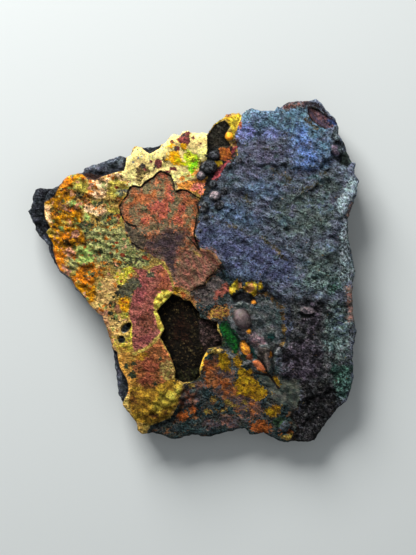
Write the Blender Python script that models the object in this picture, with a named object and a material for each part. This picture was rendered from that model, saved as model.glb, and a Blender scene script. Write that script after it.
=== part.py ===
"""Turgite specimen: a broken plate of iridescent iron oxide that lies on its back, crusted face up.

The plate grew as one stone, so it is one solid. Its face and its back are two reliefs over the same broken
outline, and a rough wall joins them along the rim. +X is the specimen's right, +Y its top and +Z the way its
face looks. The origin is the middle of its box, at the level of the surface that it rests on.

Outlines and places on the face are given as (x, y) in pixels of the reference picture, x to the right and y
down, and PLATE_WIDTH turns them into metres. Heights and sizes across are in millimetres where a name or a
heading says so, and MM turns them into metres.
"""

import math

import bmesh
import bpy
import numpy as np
from mathutils import Vector, noise
from mathutils.geometry import delaunay_2d_cdt

# Driving dimensions, in metres
MM = 0.001
PLATE_WIDTH = 92.8 * MM
FACE_LEVEL = 10.6 * MM
RIM_FOOT_LEVEL = 3.8 * MM

# The picture's frame: the rim's furthest points across, and the middle of its box
PICTURE_LEFT = 27.5
PICTURE_RIGHT = 359.0
PICTURE_MIDDLE = (193.25, 271.85)
PIXEL = PLATE_WIDTH / (PICTURE_RIGHT - PICTURE_LEFT)

# The rim, clockwise from the left tip
RIM = [
    (27.5, 211), (31, 208), (33, 193), (35.5, 188.5), (52, 188), (61, 183), (63, 179), (68, 176),
    (82.5, 171.5), (84, 168), (87.6, 166.5), (96.5, 164), (109, 159), (120, 155.3), (126.5, 157.5),
    (131, 155), (132.5, 149), (135, 147), (155, 147), (165, 143), (170, 136), (174, 134.3), (180, 135.5),
    (183, 132), (188, 130.3), (192, 132.3), (208, 133.3), (212, 127.5), (216, 122.5), (224, 118),
    (226, 114.5), (239, 112.7), (241.5, 115.5), (245, 112), (251, 109), (262, 111.5), (274, 111),
    (277, 106.5), (280, 108), (287, 103),
    (298, 101), (307, 101.5), (316, 99.7), (321, 103.5), (327, 111), (335, 119), (338.5, 127), (338.5, 134),
    (344, 143), (348, 154), (352, 163), (355, 163.5), (354, 174), (359, 181), (357, 191), (355, 198),
    (350.5, 210), (347.5, 219), (348, 238), (352, 255), (355.5, 272), (352.5, 283), (352, 296), (354, 318),
    (357, 333), (354, 346), (353, 360), (354.5, 377), (353, 384), (349, 398), (343.5, 405), (336, 412),
    (330, 420), (325, 427), (318.5, 436), (315.5, 442), (308, 443), (292, 443), (288, 444), (277, 441),
    (264, 433.5), (257, 436), (250, 435), (245, 429.3), (241, 429.3), (231, 432), (221, 434.5), (209.5, 438),
    (192, 435.5), (185, 437.5), (181, 439), (171, 439.5), (160, 435), (152, 433), (141, 434.5), (138, 431),
    (136, 422.5), (131, 416), (123.5, 407), (121, 399), (118.5, 396), (116.5, 378), (114, 360), (112, 345),
    (105.5, 325), (102, 316), (92, 308), (88, 302), (75, 288.5), (72, 281), (60, 272), (54, 262.5),
    (49, 252), (48, 245), (38, 235), (32.5, 222), (31, 218),
]

# The yellow and cream layer, which leaves the dark layer below it bare along the left and at the top edge;
# elsewhere its outline runs outside the rim
YELLOW_LAYER = [
    (61, 183), (58, 186.5), (49, 191), (46, 195), (44, 203), (44, 210), (45, 219), (50, 227), (46, 232),
    (53, 244),
    (53, 250), (56, 262), (60, 270), (70, 278), (75, 286), (87, 300), (84, 312), (105, 345), (117, 352),
    (118, 360), (120, 368), (126, 378), (128, 384), (128, 392), (123, 402), (116, 410), (130, 450),
    (340, 460), (375, 300), (375, 90), (240, 90), (165, 132), (160, 147.5), (153, 152), (150, 153.5),
    (147, 152), (143, 149), (138, 142), (126.5, 150), (125.5, 165), (124, 170.5), (120, 171), (106, 175),
    (100, 177), (96, 179.5), (86, 177), (82, 174), (70, 170),
]

# The blue crust over the right two thirds, whose outline runs outside the rim on the right
BLUE_CRUST = [
    (241.5, 115.5), (238, 127), (235, 136), (236, 143), (238, 155), (229, 162), (214, 180), (209, 190),
    (199, 201), (198.5, 213), (195, 232), (199, 248), (212, 250.5), (222, 263), (230, 275), (246, 280),
    (256, 290), (266, 291), (277, 298), (284, 303), (283, 320), (285, 333), (282, 344), (274, 348),
    (275, 360), (283, 375), (300, 380), (300, 402), (299, 408), (291, 417), (300, 430), (290, 450),
    (330, 460), (380, 400), (380, 80), (241, 80),
]

RUST_FLAKE = [
    (160, 171), (171, 176), (174, 188), (176, 192), (180, 190), (186, 190.5), (191, 193), (199, 201),
    (196, 205), (198.5, 213), (196, 216), (195, 232), (194, 236), (199, 248), (205, 250.5), (212, 250.5),
    (222, 263), (217, 268), (213, 274), (207, 278), (204.5, 285), (198, 287), (190, 292), (180, 287),
    (174, 287), (172, 276), (163, 262), (148, 252), (135, 245), (126, 233), (123, 218), (119.5, 207),
    (121, 203), (127, 196), (130, 188), (133, 186), (141, 188), (146, 182), (154, 177), (157, 173.5),
]

BLACK_PIT = [
    (172, 294), (180, 297), (184, 300), (190, 301), (196, 309), (199, 312), (200, 318), (217, 322),
    (217, 330), (222, 338), (222, 346), (208, 349), (203, 358), (199, 370), (200, 376), (196, 381),
    (183, 383), (175, 378), (175, 370), (170, 355), (160, 337), (164.5, 329), (157, 311), (161, 306),
    (169, 298),
]

VELVET_OVAL = [
    (208, 134), (212, 128), (216, 123), (225, 120), (230, 126), (226, 134), (226, 138), (231, 146),
    (220, 147), (208, 155), (207.5, 145),
]

CORNER_FLAKE = [
    (307, 107), (318, 110), (326, 116), (332, 118), (337, 123), (332, 128), (324, 129.5), (318, 125),
    (311, 120), (308, 115),
]

BLACK_CORNER = [
    (300, 402), (299, 408), (293, 413), (291, 417), (297, 425), (300, 430), (297, 432), (290, 442),
    (300, 460), (350, 440), (352, 395), (330, 390),
]

EDGE_HOLLOW = [(336, 141), (346, 143), (351, 156), (349, 168), (339, 163), (331, 156), (332, 148)]

DARK_HOLLOW = [(231, 296), (240, 292), (250, 293), (256, 299), (252, 304), (242, 301), (234, 303)]

# The low ground between the flake, the pit and the crust, down to the lower edge
MIDDLE_GROUND = [
    (222, 263), (230, 275), (246, 280), (256, 290), (266, 291), (277, 298), (284, 303), (283, 320),
    (285, 333), (282, 344), (274, 348), (275, 360), (283, 375), (300, 380), (300, 402), (299, 408),
    (291, 417), (300, 430), (290, 450), (140, 455), (150, 426), (171, 418), (181, 398), (183, 386),
    (200, 378), (203, 358), (208, 349), (222, 346), (222, 338), (217, 322), (200, 318), (196, 309),
    (190, 292), (198, 287), (204.5, 285), (213, 274),
]

# Broad lobes of the crust, each a step above the ground below its lower edge
TOP_LOBE = [
    (242, 100), (345, 95), (338, 130), (334, 150), (326, 163), (317, 172), (301, 167), (286, 165), (263, 164),
    (248, 158), (238, 140),
]
UPPER_LOBE = [
    (236, 150), (330, 130), (350, 165), (326, 183), (310, 190), (295, 197), (283, 201), (268, 200),
    (254, 195), (240, 190), (226, 182),
]
MIDDLE_LOBE = [
    (204, 190), (240, 180), (300, 180), (346, 175), (345, 215), (327, 236), (308, 234), (303, 262),
    (295, 250), (284, 239), (274, 228), (262, 220), (240, 219), (222, 209),
]
LOWER_LOBE = [
    (190, 220), (260, 210), (345, 200), (356, 300), (318, 302), (300, 302), (285, 297), (262, 284),
    (240, 274), (222, 263), (196, 245),
]
ROUND_LOBE = [(309, 243), (322, 236), (335, 241), (338, 250), (333, 257), (321, 260), (310, 256)]

# Ledges: outline, how much higher the inside is at the outline's top and at its bottom in mm, and the width
# of the riser in mm
YELLOW_STEP = 1.9
LEDGES = [
    (YELLOW_LAYER, YELLOW_STEP, YELLOW_STEP, 0.35),
    (BLUE_CRUST, 0.8, 0.0, 1.8),
    (MIDDLE_GROUND, -0.6, -0.9, 2.4),
    (RUST_FLAKE, -0.45, 0.35, 0.3),
    (BLACK_PIT, -2.2, -2.0, 0.4),
    (VELVET_OVAL, -0.9, -0.9, 0.5),
    (CORNER_FLAKE, -0.45, -0.45, 0.3),
    (BLACK_CORNER, -0.8, -0.8, 1.3),
    (EDGE_HOLLOW, -1.1, -1.1, 1.0),
    (DARK_HOLLOW, -0.7, -0.7, 0.8),
    (TOP_LOBE, 0.3, 0.9, 1.5),
    (UPPER_LOBE, 0.2, 0.8, 1.4),
    (MIDDLE_LOBE, 0.2, 0.7, 1.3),
    (LOWER_LOBE, 0.2, 0.9, 1.5),
    (ROUND_LOBE, 0.3, 0.7, 1.3),
]
WIDEST_LINED_RISER = 1.2
WARP_SIZE = 4.0 * MM
LEDGE_WARP = 2.2 * MM

# Broad soft swells: x, y, half length and half width in pixels, turn in degrees, height in mm.
# They are the flake's dome, the crust's upper right, its round lobe, the yellow layer's middle, the crust's
# bulging lip and the mound under the grape cluster.
SWELLS = [
    (160, 214, 54, 46, 90, 1.4), (312, 145, 34, 26, 10, 0.7), (322, 248, 17, 13, 10, 0.8),
    (82, 225, 46, 34, 20, 0.8), (304, 160, 22, 14, 10, 0.8), (152, 403, 27, 20, 0, 1.1),
]

# Lumps and beads, given as the swells are
MIDDLE_LUMPS = [
    (240, 325, 21, 9.5, 62, 0.9), (242, 319, 11.5, 8, 62, 2.1), (243.5, 333.5, 4, 2.6, 0, 1.1),
    (243.5, 339, 4, 2.6, 0, 1.0),
]
MIDDLE_RIDGE = [
    (257, 339, 10, 8, 15, 1.1), (264, 348, 10, 7, 45, 1.3), (268, 361, 15, 4.6, 78, 1.5),
    (249, 336, 5, 4, 0, 0.8),
]
BEADS = [
    (249, 331.5, 2.8, 2.8, 0, 0.9), (246, 350.5, 9.5, 4.2, 63, 1.1), (259.5, 366, 8.5, 4, 42, 1.1),
    (253.5, 302.5, 3, 3, 0, 0.8), (247, 363.5, 4.5, 3.8, 0, 0.6),
]
BLACK_BALLS = [
    (214, 155, 6, 4.5, 0, 1.1), (209, 167, 8, 6.5, 0, 1.7), (201, 176, 5, 5, 0, 1.0),
    (239, 161, 3.6, 3.6, 0, 0.9), (229, 166, 3, 3, 0, 0.7), (213, 184, 4, 4, 0, 0.9),
    (224, 191, 3.6, 3.6, 0, 0.8), (215, 196, 6, 5.5, 0, 1.3), (219, 205, 5, 5, 0, 1.1),
    (203, 207, 6, 6, 0, 1.4), (206, 218, 3.2, 3.2, 0, 0.7), (200, 231, 2.4, 2.4, 0, 0.5),
    (52, 192, 3.6, 3.6, 0, 0.8),
]
OVAL_BEAD = (229, 136.5, 4.2, 4.2, 0, 0.9)
CRUST_LUMPS = [
    (307, 311, 8.5, 4.5, 5, 1.0), (314, 304, 3.4, 3.4, 0, 0.7), (300, 257, 3.4, 3.4, 0, 0.6),
    (284, 225, 3.4, 3.4, 0, 0.7), (276, 193, 3.2, 3.2, 0, 0.6), (336, 151, 6.5, 5, 60, 1.5),
    (277, 351, 5.5, 5, 0, 0.7), (279, 150, 3, 3, 0, 0.5), (290, 152, 3.6, 3, 0, 0.6),
    (326, 168, 3, 3, 0, 0.5), (255, 211, 3.2, 3, 0, 0.5), (310, 262, 3.4, 3, 0, 0.5),
    (243, 214, 3, 2.6, 0, 0.4),
]
DARK_LAYER_LUMPS = [(91, 171, 6, 5, 0, 0.3), (103, 168, 7, 5, 0, 0.5), (115, 163, 8, 6, 0, 0.4)]
NODULES = [
    (285, 427, 6.5, 6, 0, 1.3), (288, 438, 4.5, 4, 0, 0.7), (184, 396, 4.5, 4, 0, 0.8),
    (192, 393, 4, 4, 0, 0.7), (188, 403, 5, 4, 20, 0.8), (197, 402, 4, 4, 0, 0.6),
    (188, 415, 8, 4, -15, 0.5),
]
GRAPE_CLUSTER = [
    (172, 396, 9, 7, 50, 1.5), (166, 404, 7, 6, 0, 1.1), (175, 405, 6, 5.5, 0, 1.2),
    (163, 390, 9, 6, 10, 0.8), (152, 397, 11, 9, 30, 1.0), (141, 394, 10, 8, 20, 0.7),
    (140, 404, 9, 7, 0, 0.6), (153, 408, 8, 6, 10, 1.0), (144, 413, 9, 7, 0, 0.8),
    (161, 413, 8, 6, -10, 1.0), (169, 412, 6, 5, 0, 1.1), (135, 415, 7, 7, 30, 0.6),
    (152, 419, 9, 6, 0, 0.8), (141, 421, 7, 5, 0, 0.6), (162, 420, 7, 4, -5, 0.7),
    (178, 389, 6, 6, 0, 0.8),
]
SILVER_RIDGE = (346, 196, 22, 8, 108, 0.7)
NUGGETS = [
    (158, 303, 5, 5, 0, 0.9), (161, 296, 6, 5, -20, 1.2), (168, 294, 5, 4, -30, 1.0),
    (164, 301, 4, 4, 0, 0.7), (232, 284, 4, 4, 0, 0.7), (233, 291, 5, 5, 20, 0.8),
    (244, 286, 5, 4, 0, 0.8), (253, 288, 6, 5, 40, 0.9), (248, 294, 5, 3, 0, 0.6),
    (260, 290, 4, 4, 0, 0.5), (212, 350, 5, 4, -10, 0.8), (220, 351, 4, 3, 0, 0.7),
]
LUMPS = MIDDLE_LUMPS + BEADS + BLACK_BALLS + [OVAL_BEAD] + CRUST_LUMPS + NODULES
SOFT_LUMPS = MIDDLE_RIDGE + DARK_LAYER_LUMPS + GRAPE_CLUSTER + NUGGETS + [SILVER_RIDGE]

# Small deep holes in the yellow layer, given as the lumps are, with a depth in mm
HOLES = [(126, 328, 5.6, 4.2, -35, 1.8), (121.5, 340, 3.7, 3.5, 0, 1.4)]
HOLE_MOUTH = 1.1
HOLE_STEEPNESS = 2.5

# Broad form: the face rolls off at the rim, sinks towards the lower right and swells everywhere
ROLL_OFF = 0.8 * MM
ROLL_OFF_WIDTH = 2.2 * MM
SINK_START = (270, 300)
SINK_WAY = (0.5, 0.86)
SINK_SLOPE = 0.06
SWELL_SIZE = 27.0 * MM
SWELL_HEIGHT = 0.9 * MM

# Botryoidal growth on the blue crust and, lower, on the rest of the face
DOME_SIZE = 7.5 * MM
DOME_HEIGHT = 1.1 * MM
KNOB_SIZE = 3.4 * MM
KNOB_HEIGHT = 0.6 * MM
CRUST_BLEND = 3.0 * MM
GROWTH_OFF_CRUST = 0.45

# The back: a stepped fracture that drops from the rim's foot to the flat that the stone rests on
FOOT_SLOPE_WIDTH = 17.0 * MM
FOOT_SLOPE_CURVE = 1.4
FOOT_ROUGHNESS = 1.3 * MM
FOOT_SIZE = 12.0 * MM
TERRACE_SIZE = 21.0 * MM
TERRACE_FRAY_SIZE = 7.35 * MM
TERRACE_STEP = 0.75 * MM
TERRACE_SWING = 2.6
TERRACE_RISER = 0.3
FLAT_MIDDLE = (226, 262)
FLAT_RADIUS = 18.0 * MM
FLAT_CORE = 0.7
SETTLE = 0.25 * MM
SETTLE_WIDTH = 2.0 * MM
WALL_ROWS = 2
WALL_UNDERCUT = 1.0 * MM
WALL_ROUGHNESS_SIZE = 4.0 * MM

# Spacing of the mesh points, in metres
RIM_STEP = 2.0 * MM
LEDGE_STEP = 2.2 * MM
FACE_STEP = 1.73 * MM
BACK_STEP = 2.75 * MM
LEAST_GAP = 0.55 * MM
FACE_GAP = 0.88 * MM
TRUE_ROW = 0.8
LUMP_RING_POINTS = 8
LUMP_RINGS = (0.55, 1.0)
SMALL_LUMP = 3.0
JITTER = 0.18
CLEAR_OF_RIM = 0.45
NET_TOP, NET_FOOT = 90.0, 450.0
NET_LEFT, NET_RIGHT = 20.0, 365.0
BACK_ROWS = (1.2 * MM, 3.0 * MM)
BACK_ROW_GAP = 1.0 * MM
BACK_GAP = 1.6 * MM

# Depths in the noise where each relief is cut, so that no two repeat each other
SWELL_CUT = 0.37
DOME_CUT = 2.15
KNOB_CUT = 5.4
TERRACE_CUT = 8.8
FOOT_CUT = 11.3
WALL_CUT = 14.6
WARP_CUT = 23.1


def place(points, heights):
    """World positions of picture points at the given heights."""
    middle_x, middle_y = PICTURE_MIDDLE
    return [
        Vector(((x - middle_x) * PIXEL, (middle_y - y) * PIXEL, z))
        for (x, y), z in zip(points, heights)
    ]


def smooth_step(value):
    value = np.clip(value, 0.0, 1.0)
    return value * value * (3.0 - 2.0 * value)


def inside_distance(points, outline):
    """Distance in pixels from each point to the outline, positive inside it and negative outside."""
    x, y = points[:, 0], points[:, 1]
    nearest = np.full(len(points), np.inf)
    inside = np.zeros(len(points), dtype=bool)
    for (ax, ay), (bx, by) in zip(outline, outline[1:] + outline[:1]):
        run, rise = bx - ax, by - ay
        share = np.clip(((x - ax) * run + (y - ay) * rise) / (run * run + rise * rise), 0.0, 1.0)
        nearest = np.minimum(nearest, np.hypot(x - ax - share * run, y - ay - share * rise))
        if rise:
            inside ^= ((ay > y) != (by > y)) & (x < ax + (y - ay) * run / rise)
    return np.where(inside, nearest, -nearest)


def ellipse_radius(points, lump):
    """How far each point is from the middle of a lump, where 1 is its rim."""
    x, y, half_length, half_width, turn = lump[:5]
    dx, dy = points[:, 0] - x, points[:, 1] - y
    cos, sin = math.cos(math.radians(turn)), math.sin(math.radians(turn))
    return np.hypot((dx * cos + dy * sin) / half_length, (dy * cos - dx * sin) / half_width)


def waves(points, size, cut):
    """Smooth noise between about -1 and 1, with swells of the given size."""
    scale = PIXEL / size
    return np.array([noise.noise(Vector((x * scale, y * scale, cut))) for x, y in points])


def domes(points, size, cut):
    """Close-packed domes of the given size, 1 at a high top and 0 in the creases."""
    scale = PIXEL / size
    nearest = [noise.voronoi(Vector((x * scale, y * scale, cut)))[0][0] for x, y in points]
    return 1.0 - np.minimum(np.array(nearest), 1.0) ** 2


def warped(points, amount):
    """The points moved a little by smooth noise, for wavy risers."""
    shift = amount / PIXEL
    across = waves(points, WARP_SIZE, WARP_CUT)
    down = waves(points, WARP_SIZE, WARP_CUT + WARP_CUT)
    return points + shift * np.column_stack((across, down))


def broad_form(points):
    """The face without its ledges: roll-off at the rim, the slope to the lower right, and swells."""
    inward = inside_distance(points, RIM) * PIXEL
    roll = (1.0 - np.clip(inward / ROLL_OFF_WIDTH, 0.0, 1.0)) ** 2
    roll *= 1.0 - smooth_step(-inside_distance(points, YELLOW_LAYER) * PIXEL / MM)
    way = (points - np.array(SINK_START)) @ np.array(SINK_WAY)
    sink = np.maximum(way, 0.0) * PIXEL * SINK_SLOPE
    return SWELL_HEIGHT * waves(points, SWELL_SIZE, SWELL_CUT) - ROLL_OFF * roll - sink


def growth(points):
    """Botryoidal relief, full on the blue crust and lower elsewhere."""
    on_crust = smooth_step(inside_distance(points, BLUE_CRUST) * PIXEL / CRUST_BLEND + 0.5)
    share = GROWTH_OFF_CRUST + (1.0 - GROWTH_OFF_CRUST) * on_crust
    large = DOME_HEIGHT * (domes(points, DOME_SIZE, DOME_CUT) - 0.5)
    small = KNOB_HEIGHT * (domes(points, KNOB_SIZE, KNOB_CUT) - 0.5)
    return share * (large + small)


def face_height(points):
    """Height of the face at each picture point."""
    height = FACE_LEVEL + broad_form(points) + growth(points)
    wavy = warped(points, LEDGE_WARP)
    for outline, step_at_top, step_at_bottom, riser in LEDGES:
        inward = inside_distance(points if riser <= WIDEST_LINED_RISER else wavy, outline)
        share = smooth_step(inward * PIXEL / (riser * MM) + 0.5)
        upper, lower = min(y for _, y in outline), max(y for _, y in outline)
        height += MM * share * np.interp(points[:, 1], (upper, lower), (step_at_top, step_at_bottom))
    for swell in SWELLS:
        radius = np.minimum(ellipse_radius(points, swell), 1.0)
        height += swell[5] * MM * (1.0 - radius ** 2) ** 2
    bulge = np.zeros(len(points))
    for lump in LUMPS:
        radius = np.minimum(ellipse_radius(points, lump), 1.0)
        bulge = np.maximum(bulge, lump[5] * MM * np.sqrt(1.0 - radius ** 2))
    for lump in SOFT_LUMPS:
        radius = np.minimum(ellipse_radius(points, lump), 1.0)
        bulge = np.maximum(bulge, lump[5] * MM * (1.0 - radius ** 2))
    height += bulge
    for hole in HOLES:
        radius = ellipse_radius(points, hole)
        height -= hole[5] * MM * smooth_step((HOLE_MOUTH - radius) * HOLE_STEEPNESS)
    return height - YELLOW_STEP * MM


def terraces(points):
    """Uneven steps as a layered stone breaks in, 0 at the lowest."""
    level = TERRACE_SWING * (waves(points, TERRACE_SIZE, TERRACE_CUT) + 0.5)
    level += 0.5 * waves(points, TERRACE_FRAY_SIZE, TERRACE_CUT)
    whole = np.floor(level)
    return TERRACE_STEP * (whole + smooth_step((level - whole) / TERRACE_RISER))


def back_height(points):
    """Height of the back at each picture point, 0 on the flat that the stone rests on."""
    inward = inside_distance(points, RIM) * PIXEL
    foot = RIM_FOOT_LEVEL + FOOT_ROUGHNESS * waves(points, FOOT_SIZE, FOOT_CUT)
    slope = (1.0 - np.clip(inward / FOOT_SLOPE_WIDTH, 0.0, 1.0)) ** FOOT_SLOPE_CURVE
    from_flat = np.hypot(*(points - np.array(FLAT_MIDDLE)).T) * PIXEL / FLAT_RADIUS
    settled = np.clip(inward / SETTLE_WIDTH, 0.0, 1.0) * smooth_step(from_flat - FLAT_CORE)
    return np.maximum(foot * slope + terraces(points) * settled - SETTLE * (1.0 - slope), 0.0)


def resample(outline, step):
    """Points along a closed outline, at its corners and between them at most a step apart."""
    points = []
    for (ax, ay), (bx, by) in zip(outline, outline[1:] + outline[:1]):
        count = max(1, math.ceil(math.hypot(bx - ax, by - ay) * PIXEL / step))
        points += [(ax + (bx - ax) * k / count, ay + (by - ay) * k / count) for k in range(count)]
    return points


def beside(outline, distance):
    """A copy of a closed outline moved inwards by a distance in pixels, and outwards if it is negative."""
    before = outline[-1:] + outline[:-1]
    after = outline[1:] + outline[:1]
    around = sum(ax * by - bx * ay for (ax, ay), (bx, by) in zip(outline, after))
    side = math.copysign(distance, around)
    moved = []
    for (px, py), (x, y), (nx, ny) in zip(before, outline, after):
        along = Vector((nx - px, ny - py)).normalized()
        moved.append((x - along.y * side, y + along.x * side))
    return moved


def ledge_lines():
    """Point rows along the top and the foot of each riser, inside the rim and clear of other rows."""
    rows = []
    for outline, _, _, riser in LEDGES:
        if riser > WIDEST_LINED_RISER:
            continue
        half = 0.5 * riser * MM / PIXEL
        corners = resample(outline, LEDGE_STEP)
        for side in (half, -half):
            row = np.array(beside(corners, side))
            true_gap = np.abs(inside_distance(row, outline)) > TRUE_ROW * half
            on_plate = inside_distance(row, RIM) * PIXEL > LEAST_GAP
            rows.append(row[true_gap & on_plate])
    return rows


def lump_points():
    """Middles and rings of the lumps and holes, so that each keeps its round form."""
    points = []
    for lump in LUMPS + SOFT_LUMPS + HOLES:
        x, y, half_length, half_width, turn = lump[:5]
        cos, sin = math.cos(math.radians(turn)), math.sin(math.radians(turn))
        points.append((x, y))
        rings = LUMP_RINGS if half_width > SMALL_LUMP else LUMP_RINGS[1:]
        for ring in rings:
            for k in range(LUMP_RING_POINTS):
                angle = 2.0 * math.pi * k / LUMP_RING_POINTS
                across, along = half_width * ring * math.sin(angle), half_length * ring * math.cos(angle)
                points.append((x + along * cos - across * sin, y + along * sin + across * cos))
    return np.array(points)


def net_points(step, seed):
    """A jittered triangular net over the plate, clear of the rim."""
    spread = step / PIXEL
    rng = np.random.default_rng(seed)
    rows = np.arange(NET_TOP, NET_FOOT, spread * math.sqrt(0.75))
    points = []
    for number, y in enumerate(rows):
        for x in np.arange(NET_LEFT + 0.5 * spread * (number % 2), NET_RIGHT, spread):
            points.append((x, y))
    points = np.array(points) + rng.uniform(-JITTER, JITTER, (len(points), 2)) * spread
    return points[inside_distance(points, RIM) > CLEAR_OF_RIM * spread]


def thin_out(kept, more, gap):
    """Add to the kept points those of more that are at least a gap in pixels from all before them."""
    cells = {}
    for point in kept:
        cells.setdefault((int(point[0] // gap), int(point[1] // gap)), []).append(point)
    result = list(kept)
    for point in more:
        column, row = int(point[0] // gap), int(point[1] // gap)
        near = [
            other
            for i in (column - 1, column, column + 1)
            for j in (row - 1, row, row + 1)
            for other in cells.get((i, j), [])
        ]
        if all(math.dist(point, other) >= gap for other in near):
            cells.setdefault((column, row), []).append(point)
            result.append(point)
    return result


def triangulate(rim, inner):
    """Triangles over the rim's inside, as corner places in the list of points that is returned first."""
    points = [Vector(point) for point in rim + [tuple(point) for point in inner]]
    edges = [(k, (k + 1) % len(rim)) for k in range(len(rim))]
    flat, _, faces, *_ = delaunay_2d_cdt(points, edges, [], 0, 1e-5)
    flat = np.array([tuple(point) for point in flat])
    middles = np.array([flat[list(face)].mean(axis=0) for face in faces])
    inside = inside_distance(middles, rim) > 0.0
    return flat, [face for face, keep in zip(faces, inside) if keep]


def face_points():
    """Inner points of the face: the ledges first, then the lumps, then the net."""
    gap = LEAST_GAP / PIXEL
    points = []
    for row in ledge_lines():
        points = thin_out(points, row, 0.5 * gap)
    around_lumps = lump_points()
    on_plate = inside_distance(around_lumps, RIM) > gap
    points = thin_out(points, around_lumps[on_plate], gap)
    return thin_out(points, net_points(FACE_STEP, seed=3), FACE_GAP / PIXEL)


def back_points():
    """Inner points of the back: rows close under the rim, then the net."""
    points = []
    for distance in BACK_ROWS:
        row = np.array(beside(RIM, distance / PIXEL))
        clear = inside_distance(row, RIM) * PIXEL > TRUE_ROW * distance
        points = thin_out(points, row[clear], BACK_ROW_GAP / PIXEL)
    return thin_out(points, net_points(BACK_STEP, seed=5), BACK_GAP / PIXEL)


def add_relief(mesh, rim, inner, height, flipped):
    """Add one relief to the mesh, and return its vertices on the rim in the rim's order."""
    flat, faces = triangulate(rim, inner)
    vertices = [mesh.verts.new(position) for position in place(flat, height(flat))]
    for a, b, c in faces:
        corners = (vertices[a], vertices[b], vertices[c])
        upward = (corners[1].co - corners[0].co).cross(corners[2].co - corners[0].co).z > 0.0
        mesh.faces.new(corners if upward != flipped else corners[::-1])
    found = {(round(x, 3), round(y, 3)): vertex for (x, y), vertex in zip(flat, vertices)}
    return [found[(round(x, 3), round(y, 3))] for x, y in rim]


def wall_row(top, foot, rim, share):
    """Places of one row of the wall, the given share of the way down and undercut unevenly."""
    outline = np.array(rim)
    inner = np.array(beside(rim, 1.0)) - outline
    depths = WALL_UNDERCUT * (0.5 + 0.5 * waves(outline, WALL_ROUGHNESS_SIZE, WALL_CUT + WALL_CUT * share))
    places = []
    for upper, lower, way, depth in zip(top, foot, inner, depths):
        position = upper.co.lerp(lower.co, share)
        position.x += way[0] * depth
        position.y -= way[1] * depth
        places.append(position)
    return places


def add_wall(mesh, top, foot, rim):
    """Join the two rims by a rough wall."""
    rows = [top]
    for number in range(1, WALL_ROWS + 1):
        places = wall_row(top, foot, rim, number / (WALL_ROWS + 1))
        rows.append([mesh.verts.new(position) for position in places])
    rows.append(foot)
    for upper, lower in zip(rows, rows[1:]):
        for k in range(len(rim)):
            after = (k + 1) % len(rim)
            mesh.faces.new((upper[k], upper[after], lower[after]))
            mesh.faces.new((upper[k], lower[after], lower[k]))


def stone_material():
    """Dark iron oxide with a dull metallic sheen, between the crust's blue and the rust's brown."""
    material = bpy.data.materials.new("iridescent_iron_oxide")
    material.use_nodes = True
    shader = material.node_tree.nodes["Principled BSDF"]
    shader.inputs["Base Color"].default_value = (0.10, 0.10, 0.11, 1.0)
    shader.inputs["Metallic"].default_value = 0.5
    shader.inputs["Roughness"].default_value = 0.45
    return material


def build_turgite():
    """The whole stone as one closed solid."""
    rim = resample(RIM, RIM_STEP)
    mesh = bmesh.new()
    top = add_relief(mesh, rim, face_points(), face_height, flipped=False)
    foot = add_relief(mesh, rim, back_points(), back_height, flipped=True)
    add_wall(mesh, top, foot, rim)
    bmesh.ops.recalc_face_normals(mesh, faces=mesh.faces)
    data = bpy.data.meshes.new("turgite")
    mesh.to_mesh(data)
    mesh.free()
    data.materials.append(stone_material())
    stone = bpy.data.objects.new("turgite", data)
    bpy.context.collection.objects.link(stone)
    return stone


def main():
    for thing in list(bpy.data.objects):
        bpy.data.objects.remove(thing, do_unlink=True)
    build_turgite()


main()
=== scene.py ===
import math

import bpy
import numpy as np
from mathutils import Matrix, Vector, noise
from mathutils.geometry import delaunay_2d_cdt


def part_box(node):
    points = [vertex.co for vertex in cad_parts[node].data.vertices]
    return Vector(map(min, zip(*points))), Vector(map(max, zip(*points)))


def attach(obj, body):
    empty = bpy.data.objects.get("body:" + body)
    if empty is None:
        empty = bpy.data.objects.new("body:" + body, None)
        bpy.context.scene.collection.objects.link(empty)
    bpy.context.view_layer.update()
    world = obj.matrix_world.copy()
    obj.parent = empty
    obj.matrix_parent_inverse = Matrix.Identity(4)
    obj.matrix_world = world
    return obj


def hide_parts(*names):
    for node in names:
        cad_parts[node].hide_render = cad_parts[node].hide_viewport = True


# The looks of a turgite specimen: a broken plate of iridescent iron oxide that lies on its back.
# The stone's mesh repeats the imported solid's relief, adds the fine growth that the solid leaves out, and
# carries one distance field for each colour of its face. The material turns the fields into colours with
# uneven edges. Outlines and places are (x, y) in pixels of the reference picture, x to the right and y down,
# and PIXEL is the real size of one.

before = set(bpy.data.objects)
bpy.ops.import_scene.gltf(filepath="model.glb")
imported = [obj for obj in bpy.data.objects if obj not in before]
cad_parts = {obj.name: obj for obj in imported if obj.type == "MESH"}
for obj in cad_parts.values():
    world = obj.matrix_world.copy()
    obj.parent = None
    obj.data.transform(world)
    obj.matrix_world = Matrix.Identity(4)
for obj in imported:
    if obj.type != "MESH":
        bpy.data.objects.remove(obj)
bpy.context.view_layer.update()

# Driving sizes, taken from the frame or in metres
MM = 0.001
STONE_LOW, STONE_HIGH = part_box("turgite")
PICTURE_LEFT = 27.5
PICTURE_RIGHT = 359.0
PICTURE_MIDDLE = (193.25, 271.85)
PIXEL = (STONE_HIGH.x - STONE_LOW.x) / (PICTURE_RIGHT - PICTURE_LEFT)
FACE_LEVEL = 10.6 * MM
RIM_FOOT_LEVEL = 3.8 * MM

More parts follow.
